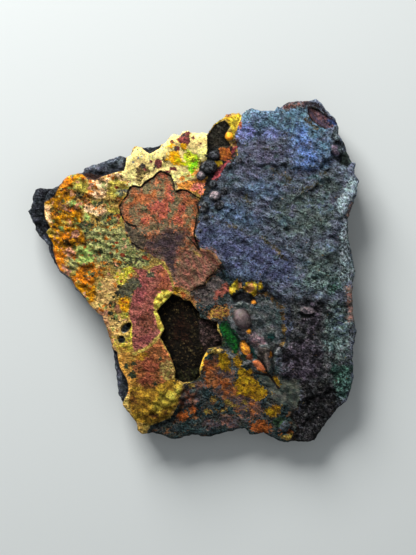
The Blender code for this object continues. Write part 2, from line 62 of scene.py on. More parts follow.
# The rim, clockwise from the left tip
RIM = [
    (27.5, 211), (31, 208), (33, 193), (35.5, 188.5), (52, 188), (61, 183), (63, 179), (68, 176),
    (82.5, 171.5), (84, 168), (87.6, 166.5), (96.5, 164), (109, 159), (120, 155.3), (126.5, 157.5),
    (131, 155), (132.5, 149), (135, 147), (155, 147), (165, 143), (170, 136), (174, 134.3), (180, 135.5),
    (183, 132), (188, 130.3), (192, 132.3), (208, 133.3), (212, 127.5), (216, 122.5), (224, 118),
    (226, 114.5), (239, 112.7), (241.5, 115.5), (245, 112), (251, 109), (262, 111.5), (274, 111),
    (277, 106.5), (280, 108), (287, 103), (298, 101), (307, 101.5), (316, 99.7), (321, 103.5), (327, 111),
    (335, 119), (338.5, 127), (338.5, 134), (344, 143), (348, 154), (352, 163), (355, 163.5), (354, 174),
    (359, 181), (357, 191), (355, 198), (350.5, 210), (347.5, 219), (348, 238), (352, 255), (355.5, 272),
    (352.5, 283), (352, 296), (354, 318), (357, 333), (354, 346), (353, 360), (354.5, 377), (353, 384),
    (349, 398), (343.5, 405), (336, 412), (330, 420), (325, 427), (318.5, 436), (315.5, 442), (308, 443),
    (292, 443), (288, 444), (277, 441), (264, 433.5), (257, 436), (250, 435), (245, 429.3), (241, 429.3),
    (231, 432), (221, 434.5), (209.5, 438), (192, 435.5), (185, 437.5), (181, 439), (171, 439.5),
    (160, 435), (152, 433), (141, 434.5), (138, 431), (136, 422.5), (131, 416), (123.5, 407), (121, 399),
    (118.5, 396), (116.5, 378), (114, 360), (112, 345), (105.5, 325), (102, 316), (92, 308), (88, 302),
    (75, 288.5), (72, 281), (60, 272), (54, 262.5), (49, 252), (48, 245), (38, 235), (32.5, 222), (31, 218),
]

# The yellow and cream layer, which leaves the dark layer below it bare along the left and at the top edge;
# elsewhere its outline runs outside the rim
YELLOW_LAYER = [
    (61, 183), (58, 186.5), (49, 191), (46, 195), (44, 203), (44, 210), (45, 219), (50, 227), (46, 232),
    (53, 244), (53, 250), (56, 262), (60, 270), (70, 278), (75, 286), (87, 300), (84, 312), (105, 345),
    (117, 352), (118, 360), (120, 368), (126, 378), (128, 384), (128, 392), (123, 402), (116, 410),
    (130, 450), (340, 460), (375, 300), (375, 90), (240, 90), (165, 132), (160, 147.5), (153, 152),
    (150, 153.5), (147, 152), (143, 149), (138, 142), (126.5, 150), (125.5, 165), (124, 170.5), (120, 171),
    (106, 175), (100, 177), (96, 179.5), (86, 177), (82, 174), (70, 170),
]

# The blue crust over the right two thirds, whose outline runs outside the rim on the right
BLUE_CRUST = [
    (241.5, 115.5), (238, 127), (235, 136), (236, 143), (238, 155), (229, 162), (214, 180), (209, 190),
    (199, 201), (198.5, 213), (195, 232), (199, 248), (212, 250.5), (222, 263), (230, 275), (246, 280),
    (256, 290), (266, 291), (277, 298), (284, 303), (283, 320), (285, 333), (282, 344), (274, 348),
    (275, 360), (283, 375), (300, 380), (300, 402), (299, 408), (291, 417), (300, 430), (290, 450),
    (330, 460), (380, 400), (380, 80), (241, 80),
]

RUST_FLAKE = [
    (160, 171), (171, 176), (174, 188), (176, 192), (180, 190), (186, 190.5), (191, 193), (199, 201),
    (196, 205), (198.5, 213), (196, 216), (195, 232), (194, 236), (199, 248), (205, 250.5), (212, 250.5),
    (222, 263), (217, 268), (213, 274), (207, 278), (204.5, 285), (198, 287), (190, 292), (180, 287),
    (174, 287), (172, 276), (163, 262), (148, 252), (135, 245), (126, 233), (123, 218), (119.5, 207),
    (121, 203), (127, 196), (130, 188), (133, 186), (141, 188), (146, 182), (154, 177), (157, 173.5),
]

BLACK_PIT = [
    (172, 294), (180, 297), (184, 300), (190, 301), (196, 309), (199, 312), (200, 318), (217, 322),
    (217, 330), (222, 338), (222, 346), (208, 349), (203, 358), (199, 370), (200, 376), (196, 381),
    (183, 383), (175, 378), (175, 370), (170, 355), (160, 337), (164.5, 329), (157, 311), (161, 306),
    (169, 298),
]

VELVET_OVAL = [
    (208, 134), (212, 128), (216, 123), (225, 120), (230, 126), (226, 134), (226, 138), (231, 146),
    (220, 147), (208, 155), (207.5, 145),
]

CORNER_FLAKE = [
    (307, 107), (318, 110), (326, 116), (332, 118), (337, 123), (332, 128), (324, 129.5), (318, 125),
    (311, 120), (308, 115),
]

BLACK_CORNER = [
    (300, 402), (299, 408), (293, 413), (291, 417), (297, 425), (300, 430), (297, 432), (290, 442),
    (300, 460), (350, 440), (352, 395), (330, 390),
]

EDGE_HOLLOW = [(336, 141), (346, 143), (351, 156), (349, 168), (339, 163), (331, 156), (332, 148)]

DARK_HOLLOW = [(231, 296), (240, 292), (250, 293), (256, 299), (252, 304), (242, 301), (234, 303)]

# The low ground between the flake, the pit and the crust, down to the lower edge
MIDDLE_GROUND = [
    (222, 263), (230, 275), (246, 280), (256, 290), (266, 291), (277, 298), (284, 303), (283, 320),
    (285, 333), (282, 344), (274, 348), (275, 360), (283, 375), (300, 380), (300, 402), (299, 408),
    (291, 417), (300, 430), (290, 450), (140, 455), (150, 426), (171, 418), (181, 398), (183, 386),
    (200, 378), (203, 358), (208, 349), (222, 346), (222, 338), (217, 322), (200, 318), (196, 309),
    (190, 292), (198, 287), (204.5, 285), (213, 274),
]

# Where the yellow layer is knobbly
NODULAR_GROUND = [
    (40, 200), (60, 176), (125, 160), (133, 188), (119, 207), (126, 235), (110, 262), (96, 300), (72, 292),
    (45, 262), (38, 225),
]

# Where the crust and the corner are broken into crags
CRAGGY_GROUND = [
    (276, 330), (300, 318), (346, 326), (362, 380), (345, 450), (285, 450), (291, 417), (299, 405),
    (300, 380), (283, 375), (275, 360),
]

# Broad lobes of the crust, each a step above the ground below its lower edge
TOP_LOBE = [
    (242, 100), (345, 95), (338, 130), (334, 150), (326, 163), (317, 172), (301, 167), (286, 165),
    (263, 164), (248, 158), (238, 140),
]
UPPER_LOBE = [
    (236, 150), (330, 130), (350, 165), (326, 183), (310, 190), (295, 197), (283, 201), (268, 200),
    (254, 195), (240, 190), (226, 182),
]
MIDDLE_LOBE = [
    (204, 190), (240, 180), (300, 180), (346, 175), (345, 215), (327, 236), (308, 234), (303, 262),
    (295, 250), (284, 239), (274, 228), (262, 220), (240, 219), (222, 209),
]
LOWER_LOBE = [
    (190, 220), (260, 210), (345, 200), (356, 300), (318, 302), (300, 302), (285, 297), (262, 284),
    (240, 274), (222, 263), (196, 245),
]
ROUND_LOBE = [(309, 243), (322, 236), (335, 241), (338, 250), (333, 257), (321, 260), (310, 256)]

# Ledges: outline, how much higher the inside is at the outline's top and at its bottom in mm, and the width
# of the riser in mm
YELLOW_STEP = 1.9
LEDGES = [
    (YELLOW_LAYER, YELLOW_STEP, YELLOW_STEP, 0.35),
    (BLUE_CRUST, 0.8, 0.0, 1.8),
    (MIDDLE_GROUND, -0.6, -0.9, 2.4),
    (RUST_FLAKE, -0.45, 0.35, 0.3),
    (BLACK_PIT, -2.2, -2.0, 0.4),
    (VELVET_OVAL, -0.9, -0.9, 0.5),
    (CORNER_FLAKE, -0.45, -0.45, 0.3),
    (BLACK_CORNER, -0.8, -0.8, 1.3),
    (EDGE_HOLLOW, -1.1, -1.1, 1.0),
    (DARK_HOLLOW, -0.7, -0.7, 0.8),
    (TOP_LOBE, 0.3, 0.9, 1.5),
    (UPPER_LOBE, 0.2, 0.8, 1.4),
    (MIDDLE_LOBE, 0.2, 0.7, 1.3),
    (LOWER_LOBE, 0.2, 0.9, 1.5),
    (ROUND_LOBE, 0.3, 0.7, 1.3),
]
WIDEST_LINED_RISER = 1.2

# Broad soft swells: x, y, half length and half width in pixels, turn in degrees, height in mm.
# They are the flake's dome, the crust's upper right, its round lobe, the yellow layer's middle, the crust's
# bulging lip and the mound under the grape cluster.
SWELLS = [
    (160, 214, 54, 46, 90, 1.4), (312, 145, 34, 26, 10, 0.7), (322, 248, 17, 13, 10, 0.8),
    (82, 225, 46, 34, 20, 0.8), (304, 160, 22, 14, 10, 0.8), (152, 403, 27, 20, 0, 1.1),
]

# Lumps and beads, given as the swells are
MIDDLE_LUMPS = [
    (240, 325, 21, 9.5, 62, 0.9), (242, 319, 11.5, 8, 62, 2.1), (243.5, 333.5, 4, 2.6, 0, 1.1),
    (243.5, 339, 4, 2.6, 0, 1.0),
]
MIDDLE_RIDGE = [
    (257, 339, 10, 8, 15, 1.1), (264, 348, 10, 7, 45, 1.3), (268, 361, 15, 4.6, 78, 1.5),
    (249, 336, 5, 4, 0, 0.8),
]
BEADS = [
    (249, 331.5, 2.8, 2.8, 0, 0.9), (246, 350.5, 9.5, 4.2, 63, 1.1), (259.5, 366, 8.5, 4, 42, 1.1),
    (253.5, 302.5, 3, 3, 0, 0.8), (247, 363.5, 4.5, 3.8, 0, 0.6),
]
BLACK_BALLS = [
    (214, 155, 6, 4.5, 0, 1.1), (209, 167, 8, 6.5, 0, 1.7), (201, 176, 5, 5, 0, 1.0),
    (239, 161, 3.6, 3.6, 0, 0.9), (229, 166, 3, 3, 0, 0.7), (213, 184, 4, 4, 0, 0.9),
    (224, 191, 3.6, 3.6, 0, 0.8), (215, 196, 6, 5.5, 0, 1.3), (219, 205, 5, 5, 0, 1.1),
    (203, 207, 6, 6, 0, 1.4), (206, 218, 3.2, 3.2, 0, 0.7), (200, 231, 2.4, 2.4, 0, 0.5),
    (52, 192, 3.6, 3.6, 0, 0.8),
]
OVAL_BEAD = (229, 136.5, 4.2, 4.2, 0, 0.9)
CRUST_LUMPS = [
    (307, 311, 8.5, 4.5, 5, 1.0), (314, 304, 3.4, 3.4, 0, 0.7), (300, 257, 3.4, 3.4, 0, 0.6),
    (284, 225, 3.4, 3.4, 0, 0.7), (276, 193, 3.2, 3.2, 0, 0.6), (336, 151, 6.5, 5, 60, 1.5),
    (277, 351, 5.5, 5, 0, 0.7), (279, 150, 3, 3, 0, 0.5), (290, 152, 3.6, 3, 0, 0.6),
    (326, 168, 3, 3, 0, 0.5), (255, 211, 3.2, 3, 0, 0.5), (310, 262, 3.4, 3, 0, 0.5),
    (243, 214, 3, 2.6, 0, 0.4),
]
DARK_LAYER_LUMPS = [(91, 171, 6, 5, 0, 0.3), (103, 168, 7, 5, 0, 0.5), (115, 163, 8, 6, 0, 0.4)]
NODULES = [
    (285, 427, 6.5, 6, 0, 1.3), (288, 438, 4.5, 4, 0, 0.7), (184, 396, 4.5, 4, 0, 0.8),
    (192, 393, 4, 4, 0, 0.7), (188, 403, 5, 4, 20, 0.8), (197, 402, 4, 4, 0, 0.6),
    (188, 415, 8, 4, -15, 0.5),
]
GRAPE_CLUSTER = [
    (172, 396, 9, 7, 50, 1.5), (166, 404, 7, 6, 0, 1.1), (175, 405, 6, 5.5, 0, 1.2),
    (163, 390, 9, 6, 10, 0.8), (152, 397, 11, 9, 30, 1.0), (141, 394, 10, 8, 20, 0.7),
    (140, 404, 9, 7, 0, 0.6), (153, 408, 8, 6, 10, 1.0), (144, 413, 9, 7, 0, 0.8),
    (161, 413, 8, 6, -10, 1.0), (169, 412, 6, 5, 0, 1.1), (135, 415, 7, 7, 30, 0.6),
    (152, 419, 9, 6, 0, 0.8), (141, 421, 7, 5, 0, 0.6), (162, 420, 7, 4, -5, 0.7), (178, 389, 6, 6, 0, 0.8),
]
SILVER_RIDGE = (346, 196, 22, 8, 108, 0.7)
NUGGETS = [
    (158, 303, 5, 5, 0, 0.9), (161, 296, 6, 5, -20, 1.2), (168, 294, 5, 4, -30, 1.0),
    (164, 301, 4, 4, 0, 0.7), (232, 284, 4, 4, 0, 0.7), (233, 291, 5, 5, 20, 0.8), (244, 286, 5, 4, 0, 0.8),
    (253, 288, 6, 5, 40, 0.9), (248, 294, 5, 3, 0, 0.6), (260, 290, 4, 4, 0, 0.5),
    (212, 350, 5, 4, -10, 0.8), (220, 351, 4, 3, 0, 0.7),
]
LUMPS = MIDDLE_LUMPS + BEADS + BLACK_BALLS + [OVAL_BEAD] + CRUST_LUMPS + NODULES
SOFT_LUMPS = MIDDLE_RIDGE + DARK_LAYER_LUMPS + GRAPE_CLUSTER + NUGGETS + [SILVER_RIDGE]

# Small deep holes in the yellow layer, given as the lumps are, with a depth in mm
HOLES = [(126, 328, 5.6, 4.2, -35, 1.8), (121.5, 340, 3.7, 3.5, 0, 1.4)]

# Broad form: the face rolls off at the rim, sinks towards the lower right and swells everywhere
ROLL_OFF = 0.8 * MM
ROLL_OFF_WIDTH = 2.2 * MM
SINK_START = (270, 300)
SINK_WAY = (0.5, 0.86)
SINK_SLOPE = 0.06
SWELL_SIZE = 27.0 * MM
SWELL_HEIGHT = 0.9 * MM

# Botryoidal growth on the blue crust and, lower, on the rest of the face
DOME_SIZE = 7.5 * MM
DOME_HEIGHT = 1.1 * MM
KNOB_SIZE = 3.4 * MM
KNOB_HEIGHT = 0.6 * MM
CRUST_BLEND = 3.0 * MM
GROWTH_OFF_CRUST = 0.45

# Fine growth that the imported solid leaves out
BUD_SIZE = 2.2 * MM
BUD_HEIGHT = 0.36 * MM
GRAIN_SIZE = 0.85 * MM
GRAIN_HEIGHT = 0.17 * MM
WRINKLE_SIZE = 1.1 * MM
WRINKLE_HEIGHT = 0.38 * MM
WRINKLE_STRETCH = 2.6
WRINKLE_TURN = math.radians(26.0)
CRAG_SIZE = 3.0 * MM
CRAG_HEIGHT = 0.8 * MM
CRAG_SHARE = 0.6
CREST_SIZE = 3.4 * MM
CREST_HEIGHT = 0.75 * MM
NODULE_GAIN = 1.3
WARP_SIZE = 4.0 * MM
WARP = 0.9 * MM
LEDGE_WARP = 2.2 * MM
FINE_OFF_CRUST = 0.75
FINE_ON_LUMPS = 0.3
LUMP_EDGE = 1.15
LUMP_EDGE_STEEPNESS = 4.0
HOLE_MOUTH = 1.1
HOLE_STEEPNESS = 2.5

# The back: a stepped fracture that drops from the rim's foot to the flat that the stone rests on
FOOT_SLOPE_WIDTH = 17.0 * MM
FOOT_SLOPE_CURVE = 1.4
FOOT_ROUGHNESS = 1.3 * MM
FOOT_SIZE = 12.0 * MM
TERRACE_SIZE = 21.0 * MM
TERRACE_FRAY_SIZE = 0.35 * TERRACE_SIZE
TERRACE_STEP = 0.75 * MM
TERRACE_SWING = 2.6
TERRACE_RISER = 0.3
FLAT_MIDDLE = (226, 262)
FLAT_RADIUS = 18.0 * MM
FLAT_CORE = 0.7
SETTLE = 0.25 * MM
SETTLE_WIDTH = 2.0 * MM
BACK_GRAIN_SIZE = 2.2 * MM
BACK_GRAIN_HEIGHT = 0.22 * MM
WALL_ROWS = 11
BACK_DEPTH = 9.0 * MM
WALL_UNDERCUT = 1.0 * MM
WALL_EDGE_SHARE = 0.25
WALL_ROUGHNESS_SIZE = 4.0 * MM
WALL_GRAIN_SIZE = 1.0 * MM
WALL_GRAIN_HEIGHT = 0.28 * MM
WALL_GRAIN_DRIFT = 6.0 * MM
RIM_CHIP_SIZE = 1.3 * MM
RIM_CHIP = 0.26 * MM

# Spacing of the mesh points
RIM_STEP = 0.45 * MM
LEDGE_STEP = 0.4 * MM
FACE_STEP = 0.315 * MM
BACK_STEP = 0.85 * MM
LEAST_GAP = 0.16 * MM
MERGE_GAP = 1e-5
TRUE_ROW = 0.8
CLEAR_OF_RIM = 0.55
CLEAR_OF_CHIPS = 1.6 * RIM_CHIP
NEAR_CHIPS = 4.0 * RIM_CHIP
JITTER = 0.12
FACE_SEED, BACK_SEED = 3, 5
NET_TOP, NET_FOOT = 90.0, 450.0
NET_LEFT, NET_RIGHT = 20.0, 365.0

# Depths in the noise where each relief is cut, so that no two repeat each other
SWELL_CUT = 0.37
DOME_CUT = 2.15
KNOB_CUT = 5.4
TERRACE_CUT = 8.8
FOOT_CUT = 11.3
WALL_CUT = 14.6
BUD_CUT = 17.2
GRAIN_CUT = 20.9
WARP_CUT = 23.1
CHIP_CUT = 26.7
WRINKLE_CUT = 29.3
CRAG_CUT = 33.9


def place(points, heights):
    """World positions of picture points at the given heights, one row each."""
    middle_x, middle_y = PICTURE_MIDDLE
    return np.column_stack(((points[:, 0] - middle_x) * PIXEL, (middle_y - points[:, 1]) * PIXEL, heights))


def smooth_step(value):
    value = np.clip(value, 0.0, 1.0)
    return value * value * (3.0 - 2.0 * value)


def line_distance(points, line):
    """Distance in pixels from each point to an open line."""
    x, y = points[:, 0], points[:, 1]
    nearest = np.full(len(points), np.inf)
    for (ax, ay), (bx, by) in zip(line, line[1:]):
        run, rise = bx - ax, by - ay
        share = np.clip(((x - ax) * run + (y - ay) * rise) / (run * run + rise * rise), 0.0, 1.0)
        nearest = np.minimum(nearest, np.hypot(x - ax - share * run, y - ay - share * rise))
    return nearest


def inside_distance(points, outline):
    """Distance in pixels from each point to the outline, positive inside it and negative outside."""
    x, y = points[:, 0], points[:, 1]
    inside = np.zeros(len(points), dtype=bool)
    for (ax, ay), (bx, by) in zip(outline, outline[1:] + outline[:1]):
        if by != ay:
            inside ^= ((ay > y) != (by > y)) & (x < ax + (y - ay) * (bx - ax) / (by - ay))
    nearest = line_distance(points, outline + outline[:1])
    return np.where(inside, nearest, -nearest)


def ellipse_radius(points, lump):
    """How far each point is from the middle of a lump, where 1 is its rim."""
    x, y, half_length, half_width, turn = lump[:5]
    dx, dy = points[:, 0] - x, points[:, 1] - y
    cos, sin = math.cos(math.radians(turn)), math.sin(math.radians(turn))
    return np.hypot((dx * cos + dy * sin) / half_length, (dy * cos - dx * sin) / half_width)


def waves(points, size, cut):
    """Smooth noise between about -1 and 1, with swells of the given size."""
    scale = PIXEL / size
    return np.array([noise.noise(Vector((x * scale, y * scale, cut))) for x, y in points])


def domes(points, size, cut):
    """Close-packed domes of the given size, 1 at a high top and 0 in the creases."""
    scale = PIXEL / size
    nearest = [noise.voronoi(Vector((x * scale, y * scale, cut)))[0][0] for x, y in points]
    return 1.0 - np.minimum(np.array(nearest), 1.0) ** 2


def warped(points, amount):
    """The points moved a little by smooth noise, which keeps close-packed domes from looking regular."""
    shift = amount / PIXEL
    across = waves(points, WARP_SIZE, WARP_CUT)
    down = waves(points, WARP_SIZE, WARP_CUT + WARP_CUT)
    return points + shift * np.column_stack((across, down))


def broad_form(points):
    """The face without its ledges: roll-off at the rim, the slope to the lower right, and swells."""
    inward = inside_distance(points, RIM) * PIXEL
    roll = (1.0 - np.clip(inward / ROLL_OFF_WIDTH, 0.0, 1.0)) ** 2
    roll *= 1.0 - off_yellow_layer(points)
    way = (points - np.array(SINK_START)) @ np.array(SINK_WAY)
    sink = np.maximum(way, 0.0) * PIXEL * SINK_SLOPE
    return SWELL_HEIGHT * waves(points, SWELL_SIZE, SWELL_CUT) - ROLL_OFF * roll - sink


def growth(points):
    """Botryoidal relief, full on the blue crust and lower elsewhere."""
    on_crust = smooth_step(inside_distance(points, BLUE_CRUST) * PIXEL / CRUST_BLEND + 0.5)
    share = GROWTH_OFF_CRUST + (1.0 - GROWTH_OFF_CRUST) * on_crust
    large = DOME_HEIGHT * (domes(points, DOME_SIZE, DOME_CUT) - 0.5)
    small = KNOB_HEIGHT * (domes(points, KNOB_SIZE, KNOB_CUT) - 0.5)
    return share * (large + small)


def wrinkles(points):
    """Fine ridges that run down to the right."""
    cos, sin = math.cos(WRINKLE_TURN), math.sin(WRINKLE_TURN)
    along = (points[:, 0] * cos + points[:, 1] * sin) / WRINKLE_STRETCH
    across = points[:, 1] * cos - points[:, 0] * sin
    return waves(np.column_stack((along, across)), WRINKLE_SIZE, WRINKLE_CUT)


def off_yellow_layer(points):
    """1 on the bare dark layer and 0 on the yellow one."""
    return smooth_step(-inside_distance(points, YELLOW_LAYER) * PIXEL / MM)


def fine_growth(points):
    """Buds, wrinkles and grain, with crags on the broken ground and crests on the bare dark layer."""
    on_crust = smooth_step(inside_distance(points, BLUE_CRUST) * PIXEL / CRUST_BLEND + 0.5)
    share = FINE_OFF_CRUST + (1.0 - FINE_OFF_CRUST) * on_crust
    for lump in MIDDLE_LUMPS + MIDDLE_RIDGE + BLACK_BALLS:
        on_lump = smooth_step((LUMP_EDGE - ellipse_radius(points, lump)) * LUMP_EDGE_STEEPNESS)
        share = share + (FINE_ON_LUMPS - share) * on_lump
    moved = warped(points, WARP)
    buds = BUD_HEIGHT * (domes(moved, BUD_SIZE, BUD_CUT) - 0.5)
    grain = GRAIN_HEIGHT * waves(points, GRAIN_SIZE, GRAIN_CUT)
    in_nodules = smooth_step(inside_distance(points, NODULAR_GROUND) * PIXEL / CRUST_BLEND)
    share = share * (1.0 + NODULE_GAIN * in_nodules)
    in_crags = smooth_step(inside_distance(points, CRAGGY_GROUND) * PIXEL / CRUST_BLEND)
    crags = waves(points, CRAG_SIZE, CRAG_CUT) + 0.5 * waves(points, 0.5 * CRAG_SIZE, CRAG_CUT)
    crests = 0.5 - 2.0 * np.abs(waves(moved, CREST_SIZE, CRAG_CUT))
    broken = CRAG_HEIGHT * CRAG_SHARE * in_crags * crags + CREST_HEIGHT * off_yellow_layer(points) * crests
    return share * (buds + WRINKLE_HEIGHT * wrinkles(points) + grain) + broken


def face_height(points):
    """Height of the face at each picture point."""
    height = FACE_LEVEL + broad_form(points) + growth(points) + fine_growth(points)
    wavy = warped(points, LEDGE_WARP)
    for outline, step_at_top, step_at_bottom, riser in LEDGES:
        inward = inside_distance(points if riser <= WIDEST_LINED_RISER else wavy, outline)
        share = smooth_step(inward * PIXEL / (riser * MM) + 0.5)
        upper, lower = min(y for _, y in outline), max(y for _, y in outline)
        height += MM * share * np.interp(points[:, 1], (upper, lower), (step_at_top, step_at_bottom))
    for swell in SWELLS:
        radius = np.minimum(ellipse_radius(points, swell), 1.0)
        height += swell[5] * MM * (1.0 - radius ** 2) ** 2
    bulge = np.zeros(len(points))
    for lump in LUMPS:
        radius = np.minimum(ellipse_radius(points, lump), 1.0)
        bulge = np.maximum(bulge, lump[5] * MM * np.sqrt(1.0 - radius ** 2))
    for lump in SOFT_LUMPS:
        radius = np.minimum(ellipse_radius(points, lump), 1.0)
        bulge = np.maximum(bulge, lump[5] * MM * (1.0 - radius ** 2))
    height += bulge
    for hole in HOLES:
        radius = ellipse_radius(points, hole)
        height -= hole[5] * MM * smooth_step((HOLE_MOUTH - radius) * HOLE_STEEPNESS)
    return height - YELLOW_STEP * MM


def terraces(points):
    """Uneven steps as a layered stone breaks in, 0 at the lowest."""
    level = TERRACE_SWING * (waves(points, TERRACE_SIZE, TERRACE_CUT) + 0.5)
    level += 0.5 * waves(points, TERRACE_FRAY_SIZE, TERRACE_CUT)
    whole = np.floor(level)
    return TERRACE_STEP * (whole + smooth_step((level - whole) / TERRACE_RISER))


def back_height(points):
    """Height of the back at each picture point, 0 at the lowest grains of its resting flat."""
    inward = inside_distance(points, RIM) * PIXEL
    foot = RIM_FOOT_LEVEL + FOOT_ROUGHNESS * waves(points, FOOT_SIZE, FOOT_CUT)
    slope = (1.0 - np.clip(inward / FOOT_SLOPE_WIDTH, 0.0, 1.0)) ** FOOT_SLOPE_CURVE
    from_flat = np.hypot(*(points - np.array(FLAT_MIDDLE)).T) * PIXEL / FLAT_RADIUS
    settled = np.clip(inward / SETTLE_WIDTH, 0.0, 1.0) * smooth_step(from_flat - FLAT_CORE)
    height = np.maximum(foot * slope + terraces(points) * settled - SETTLE * (1.0 - slope), 0.0)
    grain = domes(warped(points, WARP), BACK_GRAIN_SIZE, BUD_CUT)
    return height + BACK_GRAIN_HEIGHT * (1.0 - grain) * np.clip(inward / MM, 0.0, 1.0)


def resample(outline, step):
    """Points along a closed outline, at its corners and between them at most a step apart."""
    points = []
    for (ax, ay), (bx, by) in zip(outline, outline[1:] + outline[:1]):
        count = max(1, math.ceil(math.hypot(bx - ax, by - ay) * PIXEL / step))
        points += [(ax + (bx - ax) * k / count, ay + (by - ay) * k / count) for k in range(count)]
    return points


def beside(outline, distance):
    """A copy of a closed outline moved inwards by a distance in pixels, and outwards if it is negative."""
    before = outline[-1:] + outline[:-1]
    after = outline[1:] + outline[:1]
    around = sum(ax * by - bx * ay for (ax, ay), (bx, by) in zip(outline, after))
    side = math.copysign(1.0, around) * np.broadcast_to(distance, len(outline))
    moved = []
    for (px, py), (x, y), (nx, ny), step in zip(before, outline, after, side):
        along = Vector((nx - px, ny - py)).normalized()
        moved.append((x - along.y * step, y + along.x * step))
    return moved


def chipped_rim():
    """The rim at a fine step, with small chips broken out of it."""
    rim = resample(RIM, RIM_STEP)
    points = np.array(rim)
    chips = waves(points, RIM_CHIP_SIZE, CHIP_CUT) + 0.6 * waves(points, 0.4 * RIM_CHIP_SIZE, CHIP_CUT)
    return beside(rim, chips * RIM_CHIP / PIXEL)


def ledge_points():
    """Points along the top and the foot of each narrow riser, inside the rim."""
    rows = []
    for outline, _, _, riser in LEDGES:
        if riser > WIDEST_LINED_RISER:
            continue
        half = 0.5 * riser * MM / PIXEL
        corners = resample(outline, LEDGE_STEP)
        for side in (half, -half):
            row = np.array(beside(corners, side))
            true_gap = np.abs(inside_distance(row, outline)) > TRUE_ROW * half
            rows.append(row[true_gap])
    points = np.concatenate(rows)
    return points[inside_distance(points, RIM) * PIXEL > 2.0 * LEAST_GAP]


def net_points(step, seed):
    """A jittered triangular net over the plate, clear of the rim."""
    spread = step / PIXEL
    rng = np.random.default_rng(seed)
    rows = np.arange(NET_TOP, NET_FOOT, spread * math.sqrt(0.75))
    columns = np.arange(NET_LEFT, NET_RIGHT, spread)
    x, y = np.meshgrid(columns, rows)
    x[1::2] += 0.5 * spread
    points = np.column_stack((x.ravel(), y.ravel()))
    points += rng.uniform(-JITTER, JITTER, points.shape) * spread
    return points[inside_distance(points, RIM) * PIXEL > CLEAR_OF_RIM * step + CLEAR_OF_CHIPS]


def thin_out(points, gap):
    """The points without those that are nearer than a gap in pixels to one before them."""
    cells = {}
    kept = []
    for x, y in points:
        column, row = int(x // gap), int(y // gap)
        near = [
            other
            for i in (column - 1, column, column + 1)
            for j in (row - 1, row, row + 1)
            for other in cells.get((i, j), ())
        ]
        if all(math.hypot(x - other[0], y - other[1]) >= gap for other in near):
            cells.setdefault((column, row), []).append((x, y))
            kept.append((x, y))
    return kept


def triangulate(rim, inner):
    """Points over the rim's inside, triangles as places in their list, and the places of the rim's points."""
    edges = [(k, (k + 1) % len(rim)) for k in range(len(rim))]
    points = [Vector(point) for point in rim + inner]
    flat, _, faces, origins, *_ = delaunay_2d_cdt(points, edges, [], 0, MERGE_GAP)
    flat = np.array([tuple(point) for point in flat])
    faces = np.array(faces)
    middles = flat[faces].mean(axis=1)
    inward = inside_distance(middles, RIM)
    unsure = np.abs(inward) * PIXEL < NEAR_CHIPS
    inward[unsure] = inside_distance(middles[unsure], rim)
    faces = faces[inward > 0.0]
    first, second, third = (flat[faces[:, k]] for k in range(3))
    one_side, other_side = second - first, third - first
    downward = one_side[:, 0] * other_side[:, 1] - one_side[:, 1] * other_side[:, 0] > 0.0
    faces[downward] = faces[downward][:, ::-1]
    ring = np.zeros(len(rim), dtype=int)
    for number, sources in enumerate(origins):
        for source in sources:
            if source < len(rim):
                ring[source] = number
    return flat, faces, ring


def wall_row(top, foot, rim, share):
    """Places of one row of the wall, the given share of the way down, undercut and broken unevenly."""
    outline = np.array(rim)
    inner = np.array(beside(rim, 1.0)) - outline
    deep = WALL_UNDERCUT * (0.5 + 0.5 * waves(outline, WALL_ROUGHNESS_SIZE, WALL_CUT + WALL_CUT * share))
    cut = WALL_CUT + share * WALL_GRAIN_DRIFT / WALL_GRAIN_SIZE
    deep += WALL_GRAIN_HEIGHT * (1.0 - domes(outline, WALL_GRAIN_SIZE, cut))
    deep *= min(1.0, 4.0 * share * (1.0 - share) + WALL_EDGE_SHARE)
    places = top + (foot - top) * share
    places[:, 0] += inner[:, 0] * deep
    places[:, 1] -= inner[:, 1] * deep
    return places


def wall_faces(rows):
    """Triangles between rows of vertex numbers, from the upper rim to the foot."""
    faces = []
    for upper, lower in zip(rows, rows[1:]):
        after_upper, after_lower = np.roll(upper, -1), np.roll(lower, -1)
        faces.append(np.column_stack((upper, after_upper, after_lower)))
        faces.append(np.column_stack((upper, after_lower, lower)))
    return np.concatenate(faces)


def stone_shape():
    """Positions, triangles, picture points of the vertices with skin, whose count says how many have skin,
    and depths.

    The face comes first, then the wall and then the back, which has no coloured skin.
    """
    rim = chipped_rim()
    inner = thin_out(np.concatenate((ledge_points(), net_points(FACE_STEP, FACE_SEED))), LEAST_GAP / PIXEL)
    face_flat, face_faces, top_ring = triangulate(rim, inner)
    back_inner = [tuple(point) for point in net_points(BACK_STEP, BACK_SEED)]
    back_flat, back_faces, foot_ring = triangulate(rim, back_inner)
    face_places = place(face_flat, face_height(face_flat))
    back_places = place(back_flat, back_height(back_flat))
    places, picture, depth = [face_places], [face_flat], [np.zeros(len(face_flat))]
    rows, count = [top_ring], len(face_flat)
    for number in range(1, WALL_ROWS + 1):
        row = wall_row(face_places[top_ring], back_places[foot_ring], rim, number / (WALL_ROWS + 1))
        places.append(row)
        picture.append(np.array(rim))
        depth.append(face_places[top_ring, 2] - row[:, 2])
        rows.append(np.arange(count, count + len(rim)))
        count += len(rim)
    rows.append(foot_ring + count)
    places.append(back_places)
    depth.append(np.full(len(back_places), BACK_DEPTH))
    faces = np.concatenate((face_faces, wall_faces(rows), back_faces[:, ::-1] + count))
    return np.concatenate(places), faces, np.concatenate(picture), np.concatenate(depth)


